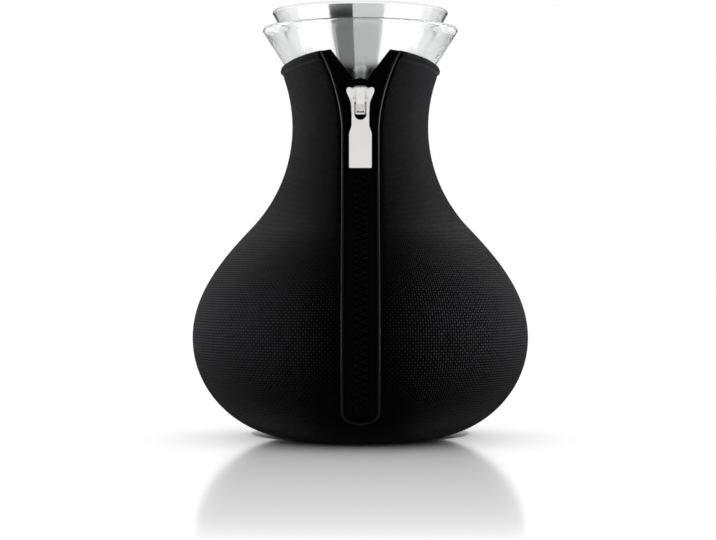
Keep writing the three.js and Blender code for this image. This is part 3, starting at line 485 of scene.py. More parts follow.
class Outline:
    """The jacket's side view: radius and height over the distance along it, from the middle of the base up.

    The base is flat, the belly a quarter of an ellipse, the shoulder a cubic curve and the neck a hollow arc.
    """

    def __init__(self, scene):
        j, z, v = scene.tea_jacket, scene.tea_zip, scene.tea_vessel
        self.jacket, self.zip, self.vessel = j, z, v
        self.neck_centre = np.array([j.neck_radius + j.neck_curve, j.neck_height])
        self.hem_height = j.neck_height + j.hem_rise
        hem_top = self.hem_height + j.hem_peak
        s = np.linspace(0, 1, OUTLINE_STEPS)
        base = np.column_stack([j.base_radius * s, 0 * s])

        t = (s - 1) * math.pi / 2
        wide = j.base_radius + (j.belly_radius - j.base_radius) * np.cos(t)
        belly = np.column_stack([wide, j.belly_height * (1 + np.sin(t))])

        sweep = np.array([math.cos(j.neck_sweep), math.sin(j.neck_sweep)])
        u = s[:, None]
        p0 = np.array([j.belly_radius, j.belly_height])
        p1 = np.array([j.belly_radius, j.belly_height + j.belly_handle])
        p3 = self.neck_centre - j.neck_curve * sweep
        p2 = p3 + j.shoulder_handle * np.array([sweep[1], -sweep[0]])
        rise = (1 - u) ** 3 * p0 + 3 * u * (1 - u) ** 2 * p1 + 3 * u**2 * (1 - u) * p2 + u**3 * p3

        top_turn = math.asin((hem_top + OUTLINE_SPARE - j.neck_height) / j.neck_curve)
        arc = -j.neck_sweep + s * (j.neck_sweep + top_turn)
        neck = self.neck_centre + j.neck_curve * np.column_stack([-np.cos(arc), np.sin(arc)])

        self.run = np.concatenate([base[:-1], belly[:-1], rise[:-1], neck])
        self.along = distances(self.run)
        self.way = np.gradient(self.run, self.along, axis=0)
        self.neck_along = float(np.interp(j.neck_height, neck[:, 1], self.along[-len(neck) :]))
        self.hem_along = self.neck_along + j.neck_curve * math.asin((hem_top - j.neck_height) / j.neck_curve)
        self.slot_along = j.base_radius + z.slot_foot
        self.hem_radius = float(self.at(self.hem_along, 0)[0])
        self.hem_corner = math.sqrt(self.hem_radius**2 - V_TOP_HALF**2)

        stretch = CLOTH_RADIUS / np.maximum(self.run[:, 0], CLOTH_CENTRE)
        steps = np.diff(self.along) * (stretch[1:] + stretch[:-1]) / 2
        self.cloth_run = np.concatenate([[0], np.cumsum(steps)])

        self.glass_neck = j.neck_radius - j.wall - FIT
        self.lip = j.neck_height + v.lip_rise
        flare = (v.lip_radius - self.glass_neck) / math.tan(v.flare_angle)
        self.flare_foot = self.lip - flare - v.flare_fillet * math.tan(v.flare_angle / 2)

    def at(self, along, depth):
        """Radius and height at a depth below the outside."""
        radius, height = (np.interp(along, self.along, self.run[:, k]) for k in (0, 1))
        way_r, way_z = (np.interp(along, self.along, self.way[:, k]) for k in (0, 1))
        return radius - depth * way_z, height + depth * way_r

    def turned(self, turn, along, depth):
        """A point by its turn from the front, its place along the outline and its depth."""
        radius, height = self.at(along, depth)
        return about_axis(radius, turn, height)

    def front(self, across, along, depth):
        """A point on the front by its place across, along and below the outside."""
        radius, height = self.at(along, depth)
        return np.stack(np.broadcast_arrays(across, -np.sqrt(radius**2 - across**2), height), axis=-1)

    def slot_half(self, along):
        """Half the slot's width: a round foot, straight sides, and a flare that starts below the neck."""
        z = self.zip
        up = np.asarray(along) - self.slot_along
        foot = np.sqrt(np.clip(z.slot_half**2 - (z.slot_half - np.clip(up, 0, z.slot_half)) ** 2, 0, None))
        start = self.neck_along - SLOT_FLARE_DROP
        share = np.clip((along - start) / (self.hem_along - start), 0, None)
        return np.where(up < z.slot_half, foot, z.slot_half + z.slot_flare * share**SLOT_FLARE_POWER)

    def hem_here(self, turn):
        """Where the hem lies along the outline at a turn: level behind, rising to the corners of the V."""
        j = self.jacket
        y = np.clip(np.cos(turn) * self.hem_radius, 0, self.hem_corner)
        height = self.hem_height + j.hem_peak * (y / self.hem_corner) ** 2
        return self.neck_along + j.neck_curve * np.arcsin((height - j.neck_height) / j.neck_curve)

    def under_hem(self, along, turn):
        """Places above the neck, drawn down so that the topmost one lies on the hem."""
        share = np.clip((along - self.neck_along) / (self.hem_along - self.neck_along), 0, None)
        return along - share * (self.hem_along - self.hem_here(turn))

    def cloth_place(self, turn, along):
        """Where the weave lies: the height is stretched as the turn is, so that the threads stay square."""
        up = np.interp(along, self.along, self.cloth_run)
        return np.stack(np.broadcast_arrays(turn * CLOTH_RADIUS, up, 0.0), axis=-1)

    def glass_radius(self, height):
        """The outside of the glass above the neck: an arc, then a straight flare."""
        lean, fillet = self.vessel.flare_angle, self.vessel.flare_fillet
        bend = self.flare_foot + fillet * math.sin(lean)
        up = np.clip(height - self.flare_foot, 0, bend - self.flare_foot)
        arc = self.glass_neck + fillet - np.sqrt(fillet**2 - up**2)
        bend_radius = self.glass_neck + fillet * (1 - math.cos(lean))
        return np.where(height > bend, bend_radius + (height - bend) * math.tan(lean), arc)


# Jacket


JACKET_ROLL = 0.0016  # radius of the jacket's edge at the slot
SEAM_GAP = 2e-6  # the halves are sewn together
SEAM_WIDTH = 0.0016
SEAM_DIP = 0.0007
EDGE_MOST = 0.5  # radians, the widest that an edge or a seam may be near the axis
AXIS_RADIUS = 1e-4  # the least radius that a turn is worked out from
HEM_ZONE = 1.5  # hem bands that have closer rows
HEM_BULGE = 0.0005
HEM_CROWN = 1.2  # above one, the bulge ends below the top
HEM_CREASE = 0.00025
CREASE_WIDTH = 0.0009


def jacket_half(outline, side):
    """One half of the jacket: rows along the outline, columns round from the front edge to the back seam.

    The outside has a depth of 0, sinks into the seams, rolls over at the slot and swells in the turned hem.
    The lining follows at the wall's depth, and both meet in a half circle at the top of the hem.
    """
    j = outline.jacket
    slot, neck, hem = outline.slot_along, outline.neck_along, outline.hem_along
    half_slot, half_wall = outline.zip.slot_half, j.wall / 2
    zone = hem - j.hem_band * HEM_ZONE
    foot, top = np.linspace(0, math.pi / 2, 18), np.linspace(0, math.pi / 2, 9)
    rows = np.concatenate(
        [
            np.linspace(0, j.base_radius, 6)[:-1],
            np.linspace(j.base_radius, slot, 28)[:-1],
            slot + half_slot * (1 - np.cos(foot))[:-1],
            np.linspace(slot + half_slot, neck, 90)[:-1],
            np.linspace(neck, zone, 24)[:-1],
            np.linspace(zone, hem - half_wall, 16)[:-1],
            hem - half_wall * (1 - np.sin(top)),
        ]
    )[:, None]
    radius = np.maximum(outline.at(rows, 0)[0], AXIS_RADIUS)
    edge = np.where(rows > slot, outline.slot_half(rows), SEAM_GAP)
    first = np.arcsin(np.clip(edge / radius, 0, 1))
    roll, seam = (np.minimum(width / radius, EDGE_MOST) for width in (JACKET_ROLL, SEAM_WIDTH))
    q = np.linspace(0, math.pi / 2, 7)
    m = np.linspace(0, 1, 96)[1:-1]
    turns = np.concatenate(
        [
            first + roll * (1 - np.cos(q)),
            (first + roll) * (1 - m) + (math.pi - seam) * m,
            math.pi - seam * (1 - np.sin(q)),
        ],
        axis=1,
    )
    along = outline.under_hem(rows, turns)
    below = np.maximum(hem - rows, 0)

    reach, height = outline.at(along, 0)
    room = reach - outline.glass_radius(height) - FIT
    wall = np.where(along > neck, np.minimum(j.wall, room), j.wall)
    rolled = np.clip(1 - (turns - first) / roll, 0, 1)
    at_slot = JACKET_ROLL * (1 - np.sqrt(1 - rolled**2))
    from_back = np.clip(1 - (math.pi - turns) / seam, 0, 1)
    depth = np.where(rows > slot, at_slot, SEAM_DIP * rolled**2) + SEAM_DIP * from_back**2
    depth = np.minimum(depth, wall / 2)
    swell = np.clip(HEM_CROWN * np.clip(1 - below / j.hem_band, 0, 1), 0, 1)
    crease = np.exp(-(((below - j.hem_band) / CREASE_WIDTH) ** 2))
    depth = depth + (HEM_CREASE * crease - HEM_BULGE * np.sin(math.pi * swell)) * (1 - rolled)
    close = np.clip(1 - below / half_wall, 0, 1)
    joined = 1 - np.sqrt(1 - close**2)
    outer = outline.turned(turns, along, depth + (wall / 2 - depth) * joined)
    inner = outline.turned(turns, along, wall - wall / 2 * joined)
    points = np.concatenate([outer, inner[:, ::-1]], axis=1)
    points[..., 0] = side * np.maximum(points[..., 0], SEAM_GAP)
    place = outline.cloth_place(side * turns, along)
    return Shape().grid(points, closed_columns=True, cloth=np.concatenate([place, place[:, ::-1]], axis=1))


STITCH_HALF = 0.004
STITCH_RADIUS = 0.00022
STITCH_ROWS = (0.0023, 0.0045)  # below the slot
STITCH_COUNT = 6
STITCH_SUNK = 0.6  # share of the thread's radius
STITCH_DEPTH = 0.3  # share of the seam's dip
TUBE_FRONT = (0.0, -1.0, 0.3)  # no tube runs this way


def tube(path, radius, sides=8):
    """A round section carried along a path, across the two directions that are square to its way."""
    way = directions(path)
    up = np.cross(way, TUBE_FRONT)
    up /= np.linalg.norm(up, axis=1, keepdims=True)
    out = np.cross(way, up)
    t = np.linspace(0, FULL_TURN, sides, endpoint=False)[None, :, None]
    return path[:, None] + radius * (np.cos(t) * up[:, None] + np.sin(t) * out[:, None])


def stitches(outline):
    """Two rows of thread across the seam under the slot: each dips into the cloth at every stitch."""
    across = np.linspace(-STITCH_HALF, STITCH_HALF, 41)
    wave = np.abs(np.sin(across / STITCH_HALF * STITCH_COUNT / 2 * math.pi))
    depth = SEAM_DIP * STITCH_DEPTH - STITCH_RADIUS * (wave - STITCH_SUNK)
    shape = Shape()
    for below in STITCH_ROWS:
        path = outline.front(across, outline.slot_along - below, depth)
        shape.bar(tube(path, STITCH_RADIUS))
    return shape


class TEA_OT_jacket(bpy.types.Operator):
    """Makes the two padded halves of the jacket and the stitches under its slot"""

    bl_idname = "tea.jacket"
    bl_label = "Jacket"

    def execute(self, context):
        outline = Outline(context.scene)
        for side, word in SIDES:
            half = jacket_half(outline, side)
            piece = add_piece(f"padded_jacket_{word}", half, "jug", "jacket", f"jacket_{word}")
        add_piece("slot_stitches", stitches(outline), "jug", "binding")
        return {"FINISHED"}


# Zip: depths are below the outside of the jacket


TEETH_TOP = 0.0009
TEETH_BOTTOM = 0.0029
TEETH_MIDDLE = (TEETH_TOP + TEETH_BOTTOM) / 2
TEETH_HALF = (TEETH_BOTTOM - TEETH_TOP) / 2
TEETH_FOOT = 0.011
TAPE_THICKNESS = 0.0006
TAPE_FOOT = 0.0026
HEM_TAPE_DEPTH = 0.0003
TACK_LENGTH = 0.0027
SLIDER_TURN = math.radians(8.5)
SLIDER_NOSE = 0.0066
SLIDER_TAIL = 0.0068
DIVIDER_TIP = 0.0024
STOP_LENGTH = 0.0032


class Zip:
    """Where the zip's pieces lie along the front of the jacket."""

    def __init__(self, outline):
        self.outline = outline
        slider_along = outline.neck_along + outline.jacket.neck_curve * SLIDER_TURN
        self.teeth_foot = outline.slot_along + TEETH_FOOT
        self.teeth_top = slider_along + DIVIDER_TIP - FIT
        self.stop_foot = self.teeth_foot - FIT - STOP_LENGTH
        self.tack = slider_along + SLIDER_NOSE + FIT
        self.v_foot = self.tack + TACK_LENGTH
        self.tape_top = TEETH_MIDDLE - TAPE_THICKNESS / 2

    def tape_depth(self, along):
        """The tapes come up towards the hem, where the flare of the glass leaves less room."""
        share = np.clip((along - self.tack) / (self.outline.hem_along - self.tack), 0, None)
        return self.tape_top + (HEM_TAPE_DEPTH - self.tape_top) * share

    def tape_inside(self, along):
        """The tape's inner edge: at the middle under the stop, beside the teeth, then along the V."""
        share = (along - self.v_foot) / (self.outline.hem_along - self.v_foot)
        beside = np.where(along < self.stop_foot, SEAM_GAP, self.outline.zip.chain_half + FIT)
        return np.maximum(beside, V_FOOT_HALF + (V_TOP_HALF - V_FOOT_HALF) * share)


BINDING_WIDTH = 0.0013
BINDING_CREST = 0.0006
BINDING_FIT = 0.0001


def zip_binding(zip_):
    """A half-round satin edge carried down one side of the slot, round its foot and up the other side."""
    outline = zip_.outline
    inset = BINDING_FIT + BINDING_WIDTH / 2
    radius = outline.zip.slot_half - inset
    middle = outline.slot_along + outline.zip.slot_half
    sides = np.linspace(outline.hem_along - FIT, middle, 150)
    right = np.column_stack([outline.slot_half(sides) - inset, sides])[:-1]
    t = np.linspace(math.pi / 2, -math.pi / 2, 41)
    foot = np.column_stack([radius * np.sin(t), middle - radius * np.cos(t)])
    route = np.concatenate([right, foot, right[::-1] * [-1, 1]])
    route[:, 1] = outline.under_hem(route[:, 1], np.arcsin(route[:, 0] / outline.hem_radius))
    way = directions(route)
    bottom = zip_.tape_depth(route[:, 1:]) - FIT
    turns = np.linspace(0, FULL_TURN, 20, endpoint=False)[None]
    aside = BINDING_WIDTH / 2 * np.cos(turns)
    depth = (bottom - BINDING_CREST) / 2 - (bottom + BINDING_CREST) / 2 * np.sin(turns)
    across = route[:, :1] - aside * way[:, 1:]
    along = route[:, 1:] + aside * way[:, :1]
    return Shape().bar(outline.front(across, along, depth))


def zip_tape(zip_, side):
    """A thin woven strip beside the teeth, and then along the V."""
    outline = zip_.outline
    along = np.concatenate(
        [
            np.linspace(outline.slot_along + TAPE_FOOT, zip_.stop_foot - FIT, 14),
            np.linspace(zip_.stop_foot, zip_.v_foot, 120)[:-1],
            np.linspace(zip_.v_foot, outline.hem_along - FIT, 24),
        ]
    )[:, None]
    inside, outside = zip_.tape_inside(along), outline.slot_half(along) - FIT
    share = np.linspace(0, 1, 9)
    across = inside + (outside - inside) * np.concatenate([share, share[::-1]])
    depth = zip_.tape_depth(along) + TAPE_THICKNESS * np.repeat([0, 1], len(share))
    along = outline.under_hem(along, np.arcsin(across / outline.hem_radius))
    points = outline.front(side * across, along, depth)
    place = np.stack([side * across, along, 0 * across], axis=-1)
    return Shape().bar(points, cloth=place)


TOOTH_REACH = 0.0011
TOOTH_STATIONS = np.array([0.0, 0.04, 0.42, 0.52, 0.60, 0.94, 1.0])  # from the root to the tip
TOOTH_HALVES = np.array([0.00130, 0.00152, 0.00150, 0.00100, 0.00080, 0.00080, 0.0006])
TOOTH_BULGE = np.array([0.75, 0.95, 1.0, 1.0, 1.0, 0.95, 0.7])
TOOTH_SIDES = 12
TOOTH_SQUARE = 0.6
TOOTH_PLACES = {-1: 0.25, 1: 0.75}  # shares of the pitch, half of it apart on the two sides
CORD_RADIUS = 0.0005
CORD_INSET = 0.4  # share of its radius
WEB_THICKNESS = 0.0002


def zip_teeth(zip_, side):
    """Moulded teeth: rounded sections from the root to a head past the middle.

    They stand half a pitch from those of the other side, on a cord and on the edge of the tape.
    """
    outline = zip_.outline
    pitch, root = outline.zip.tooth_pitch, outline.zip.chain_half
    count = int((zip_.teeth_top - zip_.teeth_foot) / pitch)
    places = zip_.teeth_foot + pitch * (np.arange(count) + TOOTH_PLACES[side])
    across = side * (root - (root + TOOTH_REACH) * TOOTH_STATIONS)[:, None]
    square = rounded_square(TOOTH_SIDES, TOOTH_SQUARE, TOOTH_SQUARE, start=math.pi / TOOTH_SIDES)
    along = places[:, None, None] + TOOTH_HALVES[:, None] * square[0]
    depth = TEETH_MIDDLE + TEETH_HALF * TOOTH_BULGE[:, None] * square[1]
    shape = Shape()
    for tooth in outline.front(across + 0 * along, along, depth + 0 * along):
        shape.bar(tooth)
    run = np.linspace(zip_.teeth_foot, zip_.teeth_top, 160)
    cord = outline.front(side * (root - CORD_RADIUS * CORD_INSET) + 0 * run, run, TEETH_MIDDLE)
    shape.bar(tube(cord, CORD_RADIUS, sides=10))
    web = side * np.array([SEAM_GAP, root, root, SEAM_GAP])
    under = TEETH_BOTTOM + WEB_THICKNESS * np.array([0, 0, 1, 1])
    return shape.bar(outline.front(web, run[:, None] + 0 * web, under))


STOP_SQUARE = 0.5
STOP_ROUND = 6  # the power by which its ends draw in
STOP_DRAW = 0.35


def bottom_stop(zip_):
    """A moulded block under the first tooth: rounded squares carried along the zip, smaller at both ends."""
    outline = zip_.outline
    share = np.sin(np.linspace(-math.pi / 2, math.pi / 2, 13))[:, None]
    along = zip_.teeth_foot - FIT - STOP_LENGTH / 2 + STOP_LENGTH / 2 * share
    full = 1 - np.abs(share) ** STOP_ROUND * STOP_DRAW
    square = rounded_square(24, STOP_SQUARE, STOP_SQUARE)
    across = outline.zip.chain_half * full * square[0]
    depth = TEETH_MIDDLE + TEETH_HALF * full * square[1]
    return Shape().bar(outline.front(across, along + 0 * across, depth))


TACK_PEAK = 0.0009
TACK_PEAK_HALF = 0.00375
TACK_HALF = 0.0075
TACK_THICKNESS = 0.0011
TACK_THREADS = 26
TACK_RELIEF = 0.00012
TACK_SQUARE = 0.6
TACK_END = 0.4  # share of the section that is left at its ends


def bar_tack(zip_):
    """A dense bar of thread across the foot of the V, higher in the middle.

    It is a rounded square carried across, which draws in at both ends, with a ridge for each thread on top.
    """
    across = np.linspace(-TACK_HALF, TACK_HALF, 8 * TACK_THREADS + 1)[:, None]
    half = (TACK_LENGTH + TACK_PEAK * np.clip(1 - np.abs(across) / TACK_PEAK_HALF, 0, 1)) / 2
    square = rounded_square(28, TACK_SQUARE, TACK_SQUARE)
    end = np.clip((TACK_HALF - np.abs(across)) / TACK_THICKNESS, 0, 1) ** 0.5
    full = TACK_END + (1 - TACK_END) * end
    along = zip_.tack + half + half * square[0] * full
    ridge = TACK_RELIEF * np.abs(np.sin(across / TACK_HALF * TACK_THREADS * math.pi / 2))
    rise = TACK_THICKNESS / 2 * (1 + square[1] * full) + ridge * (square[1] > 0)
    depth = zip_.tape_depth(zip_.v_foot) - FIT - rise
    return Shape().bar(zip_.outline.front(across + 0 * along, along, depth))


class TEA_OT_zip(bpy.types.Operator):
    """Makes the binding, tapes, teeth and stops of the zip"""

    bl_idname = "tea.zip"
    bl_label = "Zip"

    def execute(self, context):
        zip_ = Zip(Outline(context.scene))
        add_piece("satin_slot_binding", zip_binding(zip_), "jug", "binding", "zip_binding")
        for side, word in SIDES:
            add_piece(f"woven_tape_{word}", zip_tape(zip_, side), "jug", "tape", f"zip_tape_{word}")
            add_piece(f"moulded_teeth_{word}", zip_teeth(zip_, side), "jug", "teeth", f"zip_teeth_{word}")
        add_piece("sewn_bar_tack", bar_tack(zip_), "jug", "tape", "zip_top_stop")
        add_piece("moulded_bottom_stop", bottom_stop(zip_), "jug", "teeth", "zip_bottom_stop")
        return {"FINISHED"}


# Slider and puller: x across, y up along the zip, z out of the jacket


PLATE_TOP = 0.00135
PLATE_UNDER = -0.00025
PLATE_EDGE = 0.0005
LOWER_PLATE_TOP = -0.0032
LOWER_PLATE = 0.0005
LOWER_PLATE_EDGE = 0.0002
POST_EDGE = 0.0001
RAIL_DEPTH = 0.0006
RAIL_EDGE = 0.00008
CAST_OVERLAP = 0.0002  # how far the post and the rails reach into the plates

# Half of the slider's outline, from the tail up to the nose
SLIDER_HALF = np.array(
    [
        [0.0010, -0.0068],
        [0.0044, -0.0068],
        [0.0044, -0.0030],
        [0.0047, -0.0005],
        [0.0062, 0.0028],
        [0.0068, 0.0044],
        [0.0065, 0.0060],
        [0.0050, 0.0064],
        [0.0036, 0.0056],
        [0.0026, 0.0064],
        [0.0010, 0.0066],
    ]
)
POST = np.array([[0.0, DIVIDER_TIP], [0.0016, 0.0058], [-0.0016, 0.0058]])
RAIL = np.array([[0.0038, -0.0066], [0.0043, -0.0066], [0.0043, -0.0010], [0.0038, -0.0010]])


def tilted(y, z, turn):
    """Places in the plane of y and z, turned about x."""
    return y * math.cos(turn) - z * math.sin(turn), y * math.sin(turn) + z * math.cos(turn)


def on_slider(outline, points, height=0.0, lean=0.0):
    """Puts points of the slider's frame on the neck curve: leaned back, raised by a height, then placed."""
    curve = outline.jacket.neck_curve
    y, z = tilted(points[..., 1], points[..., 2], -lean)
    y, z = tilted(y, z + height, math.pi / 2 + SLIDER_TURN)
    place_y = curve * math.cos(SLIDER_TURN) - outline.neck_centre[0]
    place_z = curve * math.sin(SLIDER_TURN) + outline.neck_centre[1]
    return np.stack([points[..., 0], place_y + y, place_z + z], axis=-1)


def mirrored(half):
    """A closed outline from its right half, anticlockwise."""
    return np.concatenate([half, half[::-1] * [-1, 1]])


def slider_body(outline):
    """Two plates of the same outline, joined by a wedge at the nose, with a rail on each side of the tail."""
    loop = smooth_run(mirrored(SLIDER_HALF), 3, closed=True)
    post = smooth_run(POST, 2, closed=True)
    rails = [smooth_run(rail, 1, closed=True) for rail in (RAIL[::-1] * [-1, 1], RAIL)]
    plates = [
        (loop, PLATE_UNDER, PLATE_TOP, PLATE_EDGE),
        (loop, LOWER_PLATE_TOP - LOWER_PLATE, LOWER_PLATE_TOP, LOWER_PLATE_EDGE),
        (post, LOWER_PLATE_TOP - CAST_OVERLAP, PLATE_UNDER + CAST_OVERLAP, POST_EDGE),
        *((rail, PLATE_UNDER - RAIL_DEPTH, PLATE_UNDER + CAST_OVERLAP, RAIL_EDGE) for rail in rails),
    ]
    shape = Shape()
    for plate in plates:
        shape.bar(on_slider(outline, rounded_plate(*plate)))
    return shape


PULLER_THICKNESS = 0.0018
PULLER_CLEAR = 0.00028
PULLER_LEAN = math.radians(1)
BAR_TURN = PULLER_THICKNESS / 2 * math.sqrt(2)
PIVOT_HEIGHT = PLATE_TOP + PULLER_CLEAR + BAR_TURN

BRIDGE_HALF = 0.00206
BRIDGE_THICKNESS = 0.0013
BRIDGE_UNDER = PIVOT_HEIGHT + BAR_TURN + PULLER_CLEAR
BRIDGE_BEND = 0.0008
BRIDGE_SQUARE = (0.5, 0.35)
BRIDGE_STEPS = 200
BRIDGE_TOP = 0.5  # share of its half thickness above which its ribs and notch lie
RIB_HEIGHT = 0.0001
RIB_COUNT = 6
RIB_FADE = 0.02
RIBBED = (0.255, 0.436)  # shares of the way from the tail to the nose
NOTCH_DEPTH = 0.001
NOTCHED = (0.205, 0.247)
NOTCH_SIDE = 0.75  # share of the strap's half width


def slider_bridge(outline):
    """A strap bent over the puller's bar: a rounded section carried up, over and down.

    A sine wave makes ribs across its lower half, and a notch is cut beside them.
    """
    seat = PLATE_TOP + FIT
    middle = BRIDGE_UNDER + BRIDGE_THICKNESS / 2
    low, high = BRIDGE_THICKNESS / 2 - SLIDER_TAIL, SLIDER_NOSE - BRIDGE_THICKNESS / 2
    first = [[low, seat], [low, middle - BRIDGE_BEND], [low, middle], [low + BRIDGE_BEND, middle]]
    last = [[high - BRIDGE_BEND, middle], [high, middle], [high, middle - BRIDGE_BEND], [high, seat]]
    run = spread_evenly(smooth_run(first + last, 4), BRIDGE_STEPS)
    way = directions(run)
    across, up = rounded_square(32, *BRIDGE_SQUARE)
    share = np.linspace(0, 1, BRIDGE_STEPS)[:, None]
    start, end = RIBBED
    ribbed = np.clip(np.minimum(share - start, end - share) / RIB_FADE, 0, 1)
    rib = RIB_HEIGHT * ribbed * np.sin((share - start) / (end - start) * RIB_COUNT * FULL_TURN)
    on_top = up > BRIDGE_TOP
    notched = (share > NOTCHED[0]) & (share < NOTCHED[1]) & (np.abs(across) < NOTCH_SIDE)
    rise = BRIDGE_THICKNESS / 2 * up + (rib - NOTCH_DEPTH * notched) * on_top
    along = run[:, :1] - way[:, 1:] * rise
    out = run[:, 1:] + way[:, :1] * rise
    points = np.stack([BRIDGE_HALF * across + 0 * rise, along, out], axis=-1)
    return Shape().bar(on_slider(outline, points))


PULLER_WAIST = 0.0042
PULLER_TAB = 0.0054
PULLER_LENGTH = 0.0323
PULLER_NECK = 0.0115
PULLER_TAPER = 0.005
PULLER_CORNER = 0.0009
PULLER_BEND = 0.001
PULLER_EDGE = 0.00022
PULLER_POINTS = 480
WINDOW_HALF = 0.0028
WINDOW_LENGTH = 0.0084
WINDOW_POINTS = 2000


def zip_puller(outline):
    """A flat tab with a window for the bridge: rings go out, over, in through the window and back under.

    The window's points lie at the same turns about its middle as the outline's, so the rings match.
    """
    bar = PULLER_THICKNESS / 2
    widens, tab, end = -PULLER_NECK, -PULLER_NECK - PULLER_TAPER, -PULLER_LENGTH
    half = np.array(
        [
            [PULLER_BEND, end],
            [PULLER_TAB - PULLER_CORNER, end],
            [PULLER_TAB, end],
            [PULLER_TAB, end + PULLER_CORNER],
            [PULLER_TAB, tab - PULLER_BEND],
            [PULLER_TAB, tab + PULLER_BEND],
            [PULLER_WAIST, widens - PULLER_BEND],
            [PULLER_WAIST, widens + PULLER_BEND],
            [PULLER_WAIST, bar - PULLER_CORNER],
            [PULLER_WAIST, bar],
            [PULLER_WAIST - PULLER_CORNER, bar],
            [PULLER_BEND, bar],
        ]
    )
    outer = spread_evenly(smooth_run(mirrored(half), 3, closed=True), PULLER_POINTS, closed=True)
    t = np.linspace(math.pi, FULL_TURN, 33)
    low = WINDOW_HALF - bar - WINDOW_LENGTH
    arc = np.column_stack([WINDOW_HALF * np.cos(t), low + WINDOW_HALF * np.sin(t)])
    window = np.concatenate([arc, [[WINDOW_HALF, -bar], [-WINDOW_HALF, -bar]]])
    window = spread_evenly(window, WINDOW_POINTS, closed=True)
    centre = np.array([0, -bar - WINDOW_LENGTH / 2])
    around, target = (np.arctan2(*(loop - centre).T[::-1]) for loop in (window, outer))
    order = np.argsort(around)
    inner = [np.interp(target, around[order], window[order, k], period=FULL_TURN) for k in (0, 1)]
    reach = np.column_stack(inner) - centre
    inset, height = (run[::-1, None] for run in edge_profile(-bar, bar, PULLER_EDGE))
    wider = centre + reach * (1 + inset / WINDOW_HALF)[..., None]
    back = np.concatenate([wider, np.broadcast_to(height[..., None], (*wider.shape[:2], 1))], axis=-1)
    rings = np.concatenate([rounded_plate(outer, -bar, bar, PULLER_EDGE), back])
    points = on_slider(outline, rings, PIVOT_HEIGHT, SLIDER_TURN + PULLER_LEAN)
    return Shape().grid(points, closed_rows=True, closed_columns=True)


class TEA_OT_slider(bpy.types.Operator):
    """Makes the cast slider, its bridge and the bare puller"""

    bl_idname = "tea.slider"
    bl_label = "Slider and puller"

    def execute(self, context):
        outline = Outline(context.scene)
        add_piece("cast_slider", slider_body(outline), "slider", "nickel", "slider_body")
        add_piece("cast_bridge", slider_bridge(outline), "slider", "nickel", "slider_bridge")
        add_piece("bare_puller", zip_puller(outline), "puller", "nickel", "zip_puller")
        return {"FINISHED"}


# Flask and funnel


GLASS_SIDES = 160


def glass_flask(outline):
    """A turned profile: up the jacket's lining to the neck, then an arc and a flare to a round lip, and back.

    The way back is the inside, at the depth of the glass wall.
    """
    j, v = outline.jacket, outline.vessel
    base = np.linspace(0, j.base_radius, 4)[:-1]
    along = np.concatenate([base, np.linspace(j.base_radius, outline.neck_along, 110)])
    t = np.linspace(0, v.flare_angle, 14)
    walls = []
    for depth in (0, v.glass_wall):
        below = np.column_stack(outline.at(along, j.wall + FIT + depth))
        reach = v.flare_fillet + depth
        out = outline.glass_neck + v.flare_fillet - reach * np.cos(t)
        arc = np.column_stack([out, outline.flare_foot + reach * np.sin(t)])
        walls.append(np.concatenate([below, arc]))
    edge, lean = v.glass_wall / 2, v.flare_angle
    t = np.linspace(-lean, math.pi - lean, 15)
    inset = edge * ((1 + math.sin(lean)) * math.tan(lean) + math.cos(lean))
    centre = np.array([v.lip_radius - inset, outline.lip - edge])
    lip = centre + edge * np.column_stack([np.cos(t), np.sin(t)])
    profile = np.concatenate([walls[0], lip, walls[1][::-1]])
    profile[0, 0] = profile[-1, 0] = 0
    return Shape().grid(lathe(profile, GLASS_SIDES), closed_columns=True)


BEAD = 0.001
FUNNEL_WALL = 0.0008
FUNNEL_SIDES = 192
RIM_PROUD = 0.00015  # how far the rolled rim stands out of the cone
COLLAR_RADIUS = 0.021
COLLAR_LENGTH = 0.020
COLLAR_FLANGE = 0.0016


class Funnel:
    """The funnel's sizes: the bead at its rim, and where the cone meets the collar."""

    def __init__(self, outline):
        v = outline.vessel
        self.bead = np.array([v.rim_radius - BEAD, outline.lip + v.rim_rise - BEAD])
        self.slope = math.tan(v.cone_angle)
        self.half = FUNNEL_WALL / 2 / math.cos(v.cone_angle)
        self.foot = self.bead[1] - (self.bead[0] + self.half - COLLAR_RADIUS) / self.slope
        self.collar_foot = self.foot - COLLAR_LENGTH


def pouring_funnel(funnel):
    """A cone with a rim rolled inwards and a collar with a flange at its foot.

    The outside of the cone leans so that it leaves the collar and passes just inside the round of the rim.
    """
    collar, flange = COLLAR_RADIUS - FUNNEL_WALL, COLLAR_RADIUS + COLLAR_FLANGE
    across, up = funnel.bead - np.array([COLLAR_RADIUS, funnel.foot])
    reach = BEAD - RIM_PROUD
    lean = math.atan2(across, up) + math.asin(reach / math.hypot(across, up))
    first, last = (-lean - math.acos(at / BEAD) for at in (reach, reach - FUNNEL_WALL))
    t = np.linspace(first, last + FULL_TURN, 33)
    inside_foot = funnel.foot + FUNNEL_WALL * (1 / math.cos(lean) - 1) / math.tan(lean)
    curl = funnel.bead + BEAD * np.column_stack([np.cos(t), np.sin(t)])
    foot, step = funnel.collar_foot, funnel.collar_foot + FUNNEL_WALL
    start = [[collar, foot], [flange, foot], [flange, step]]
    rise = [[COLLAR_RADIUS, step], [COLLAR_RADIUS, funnel.foot]]
    profile = np.concatenate([start, rise, curl, [[collar, inside_foot]]])
    return Shape().grid(lathe(profile, FUNNEL_SIDES), closed_rows=True, closed_columns=True)


GASKET_CORE = 0.003
GASKET_SEAT = 0.008
GASKET_RIM = 0.003
GASKET_SIDES = 128
FIN_COUNT = 3
FIN_HEIGHT = 0.0012


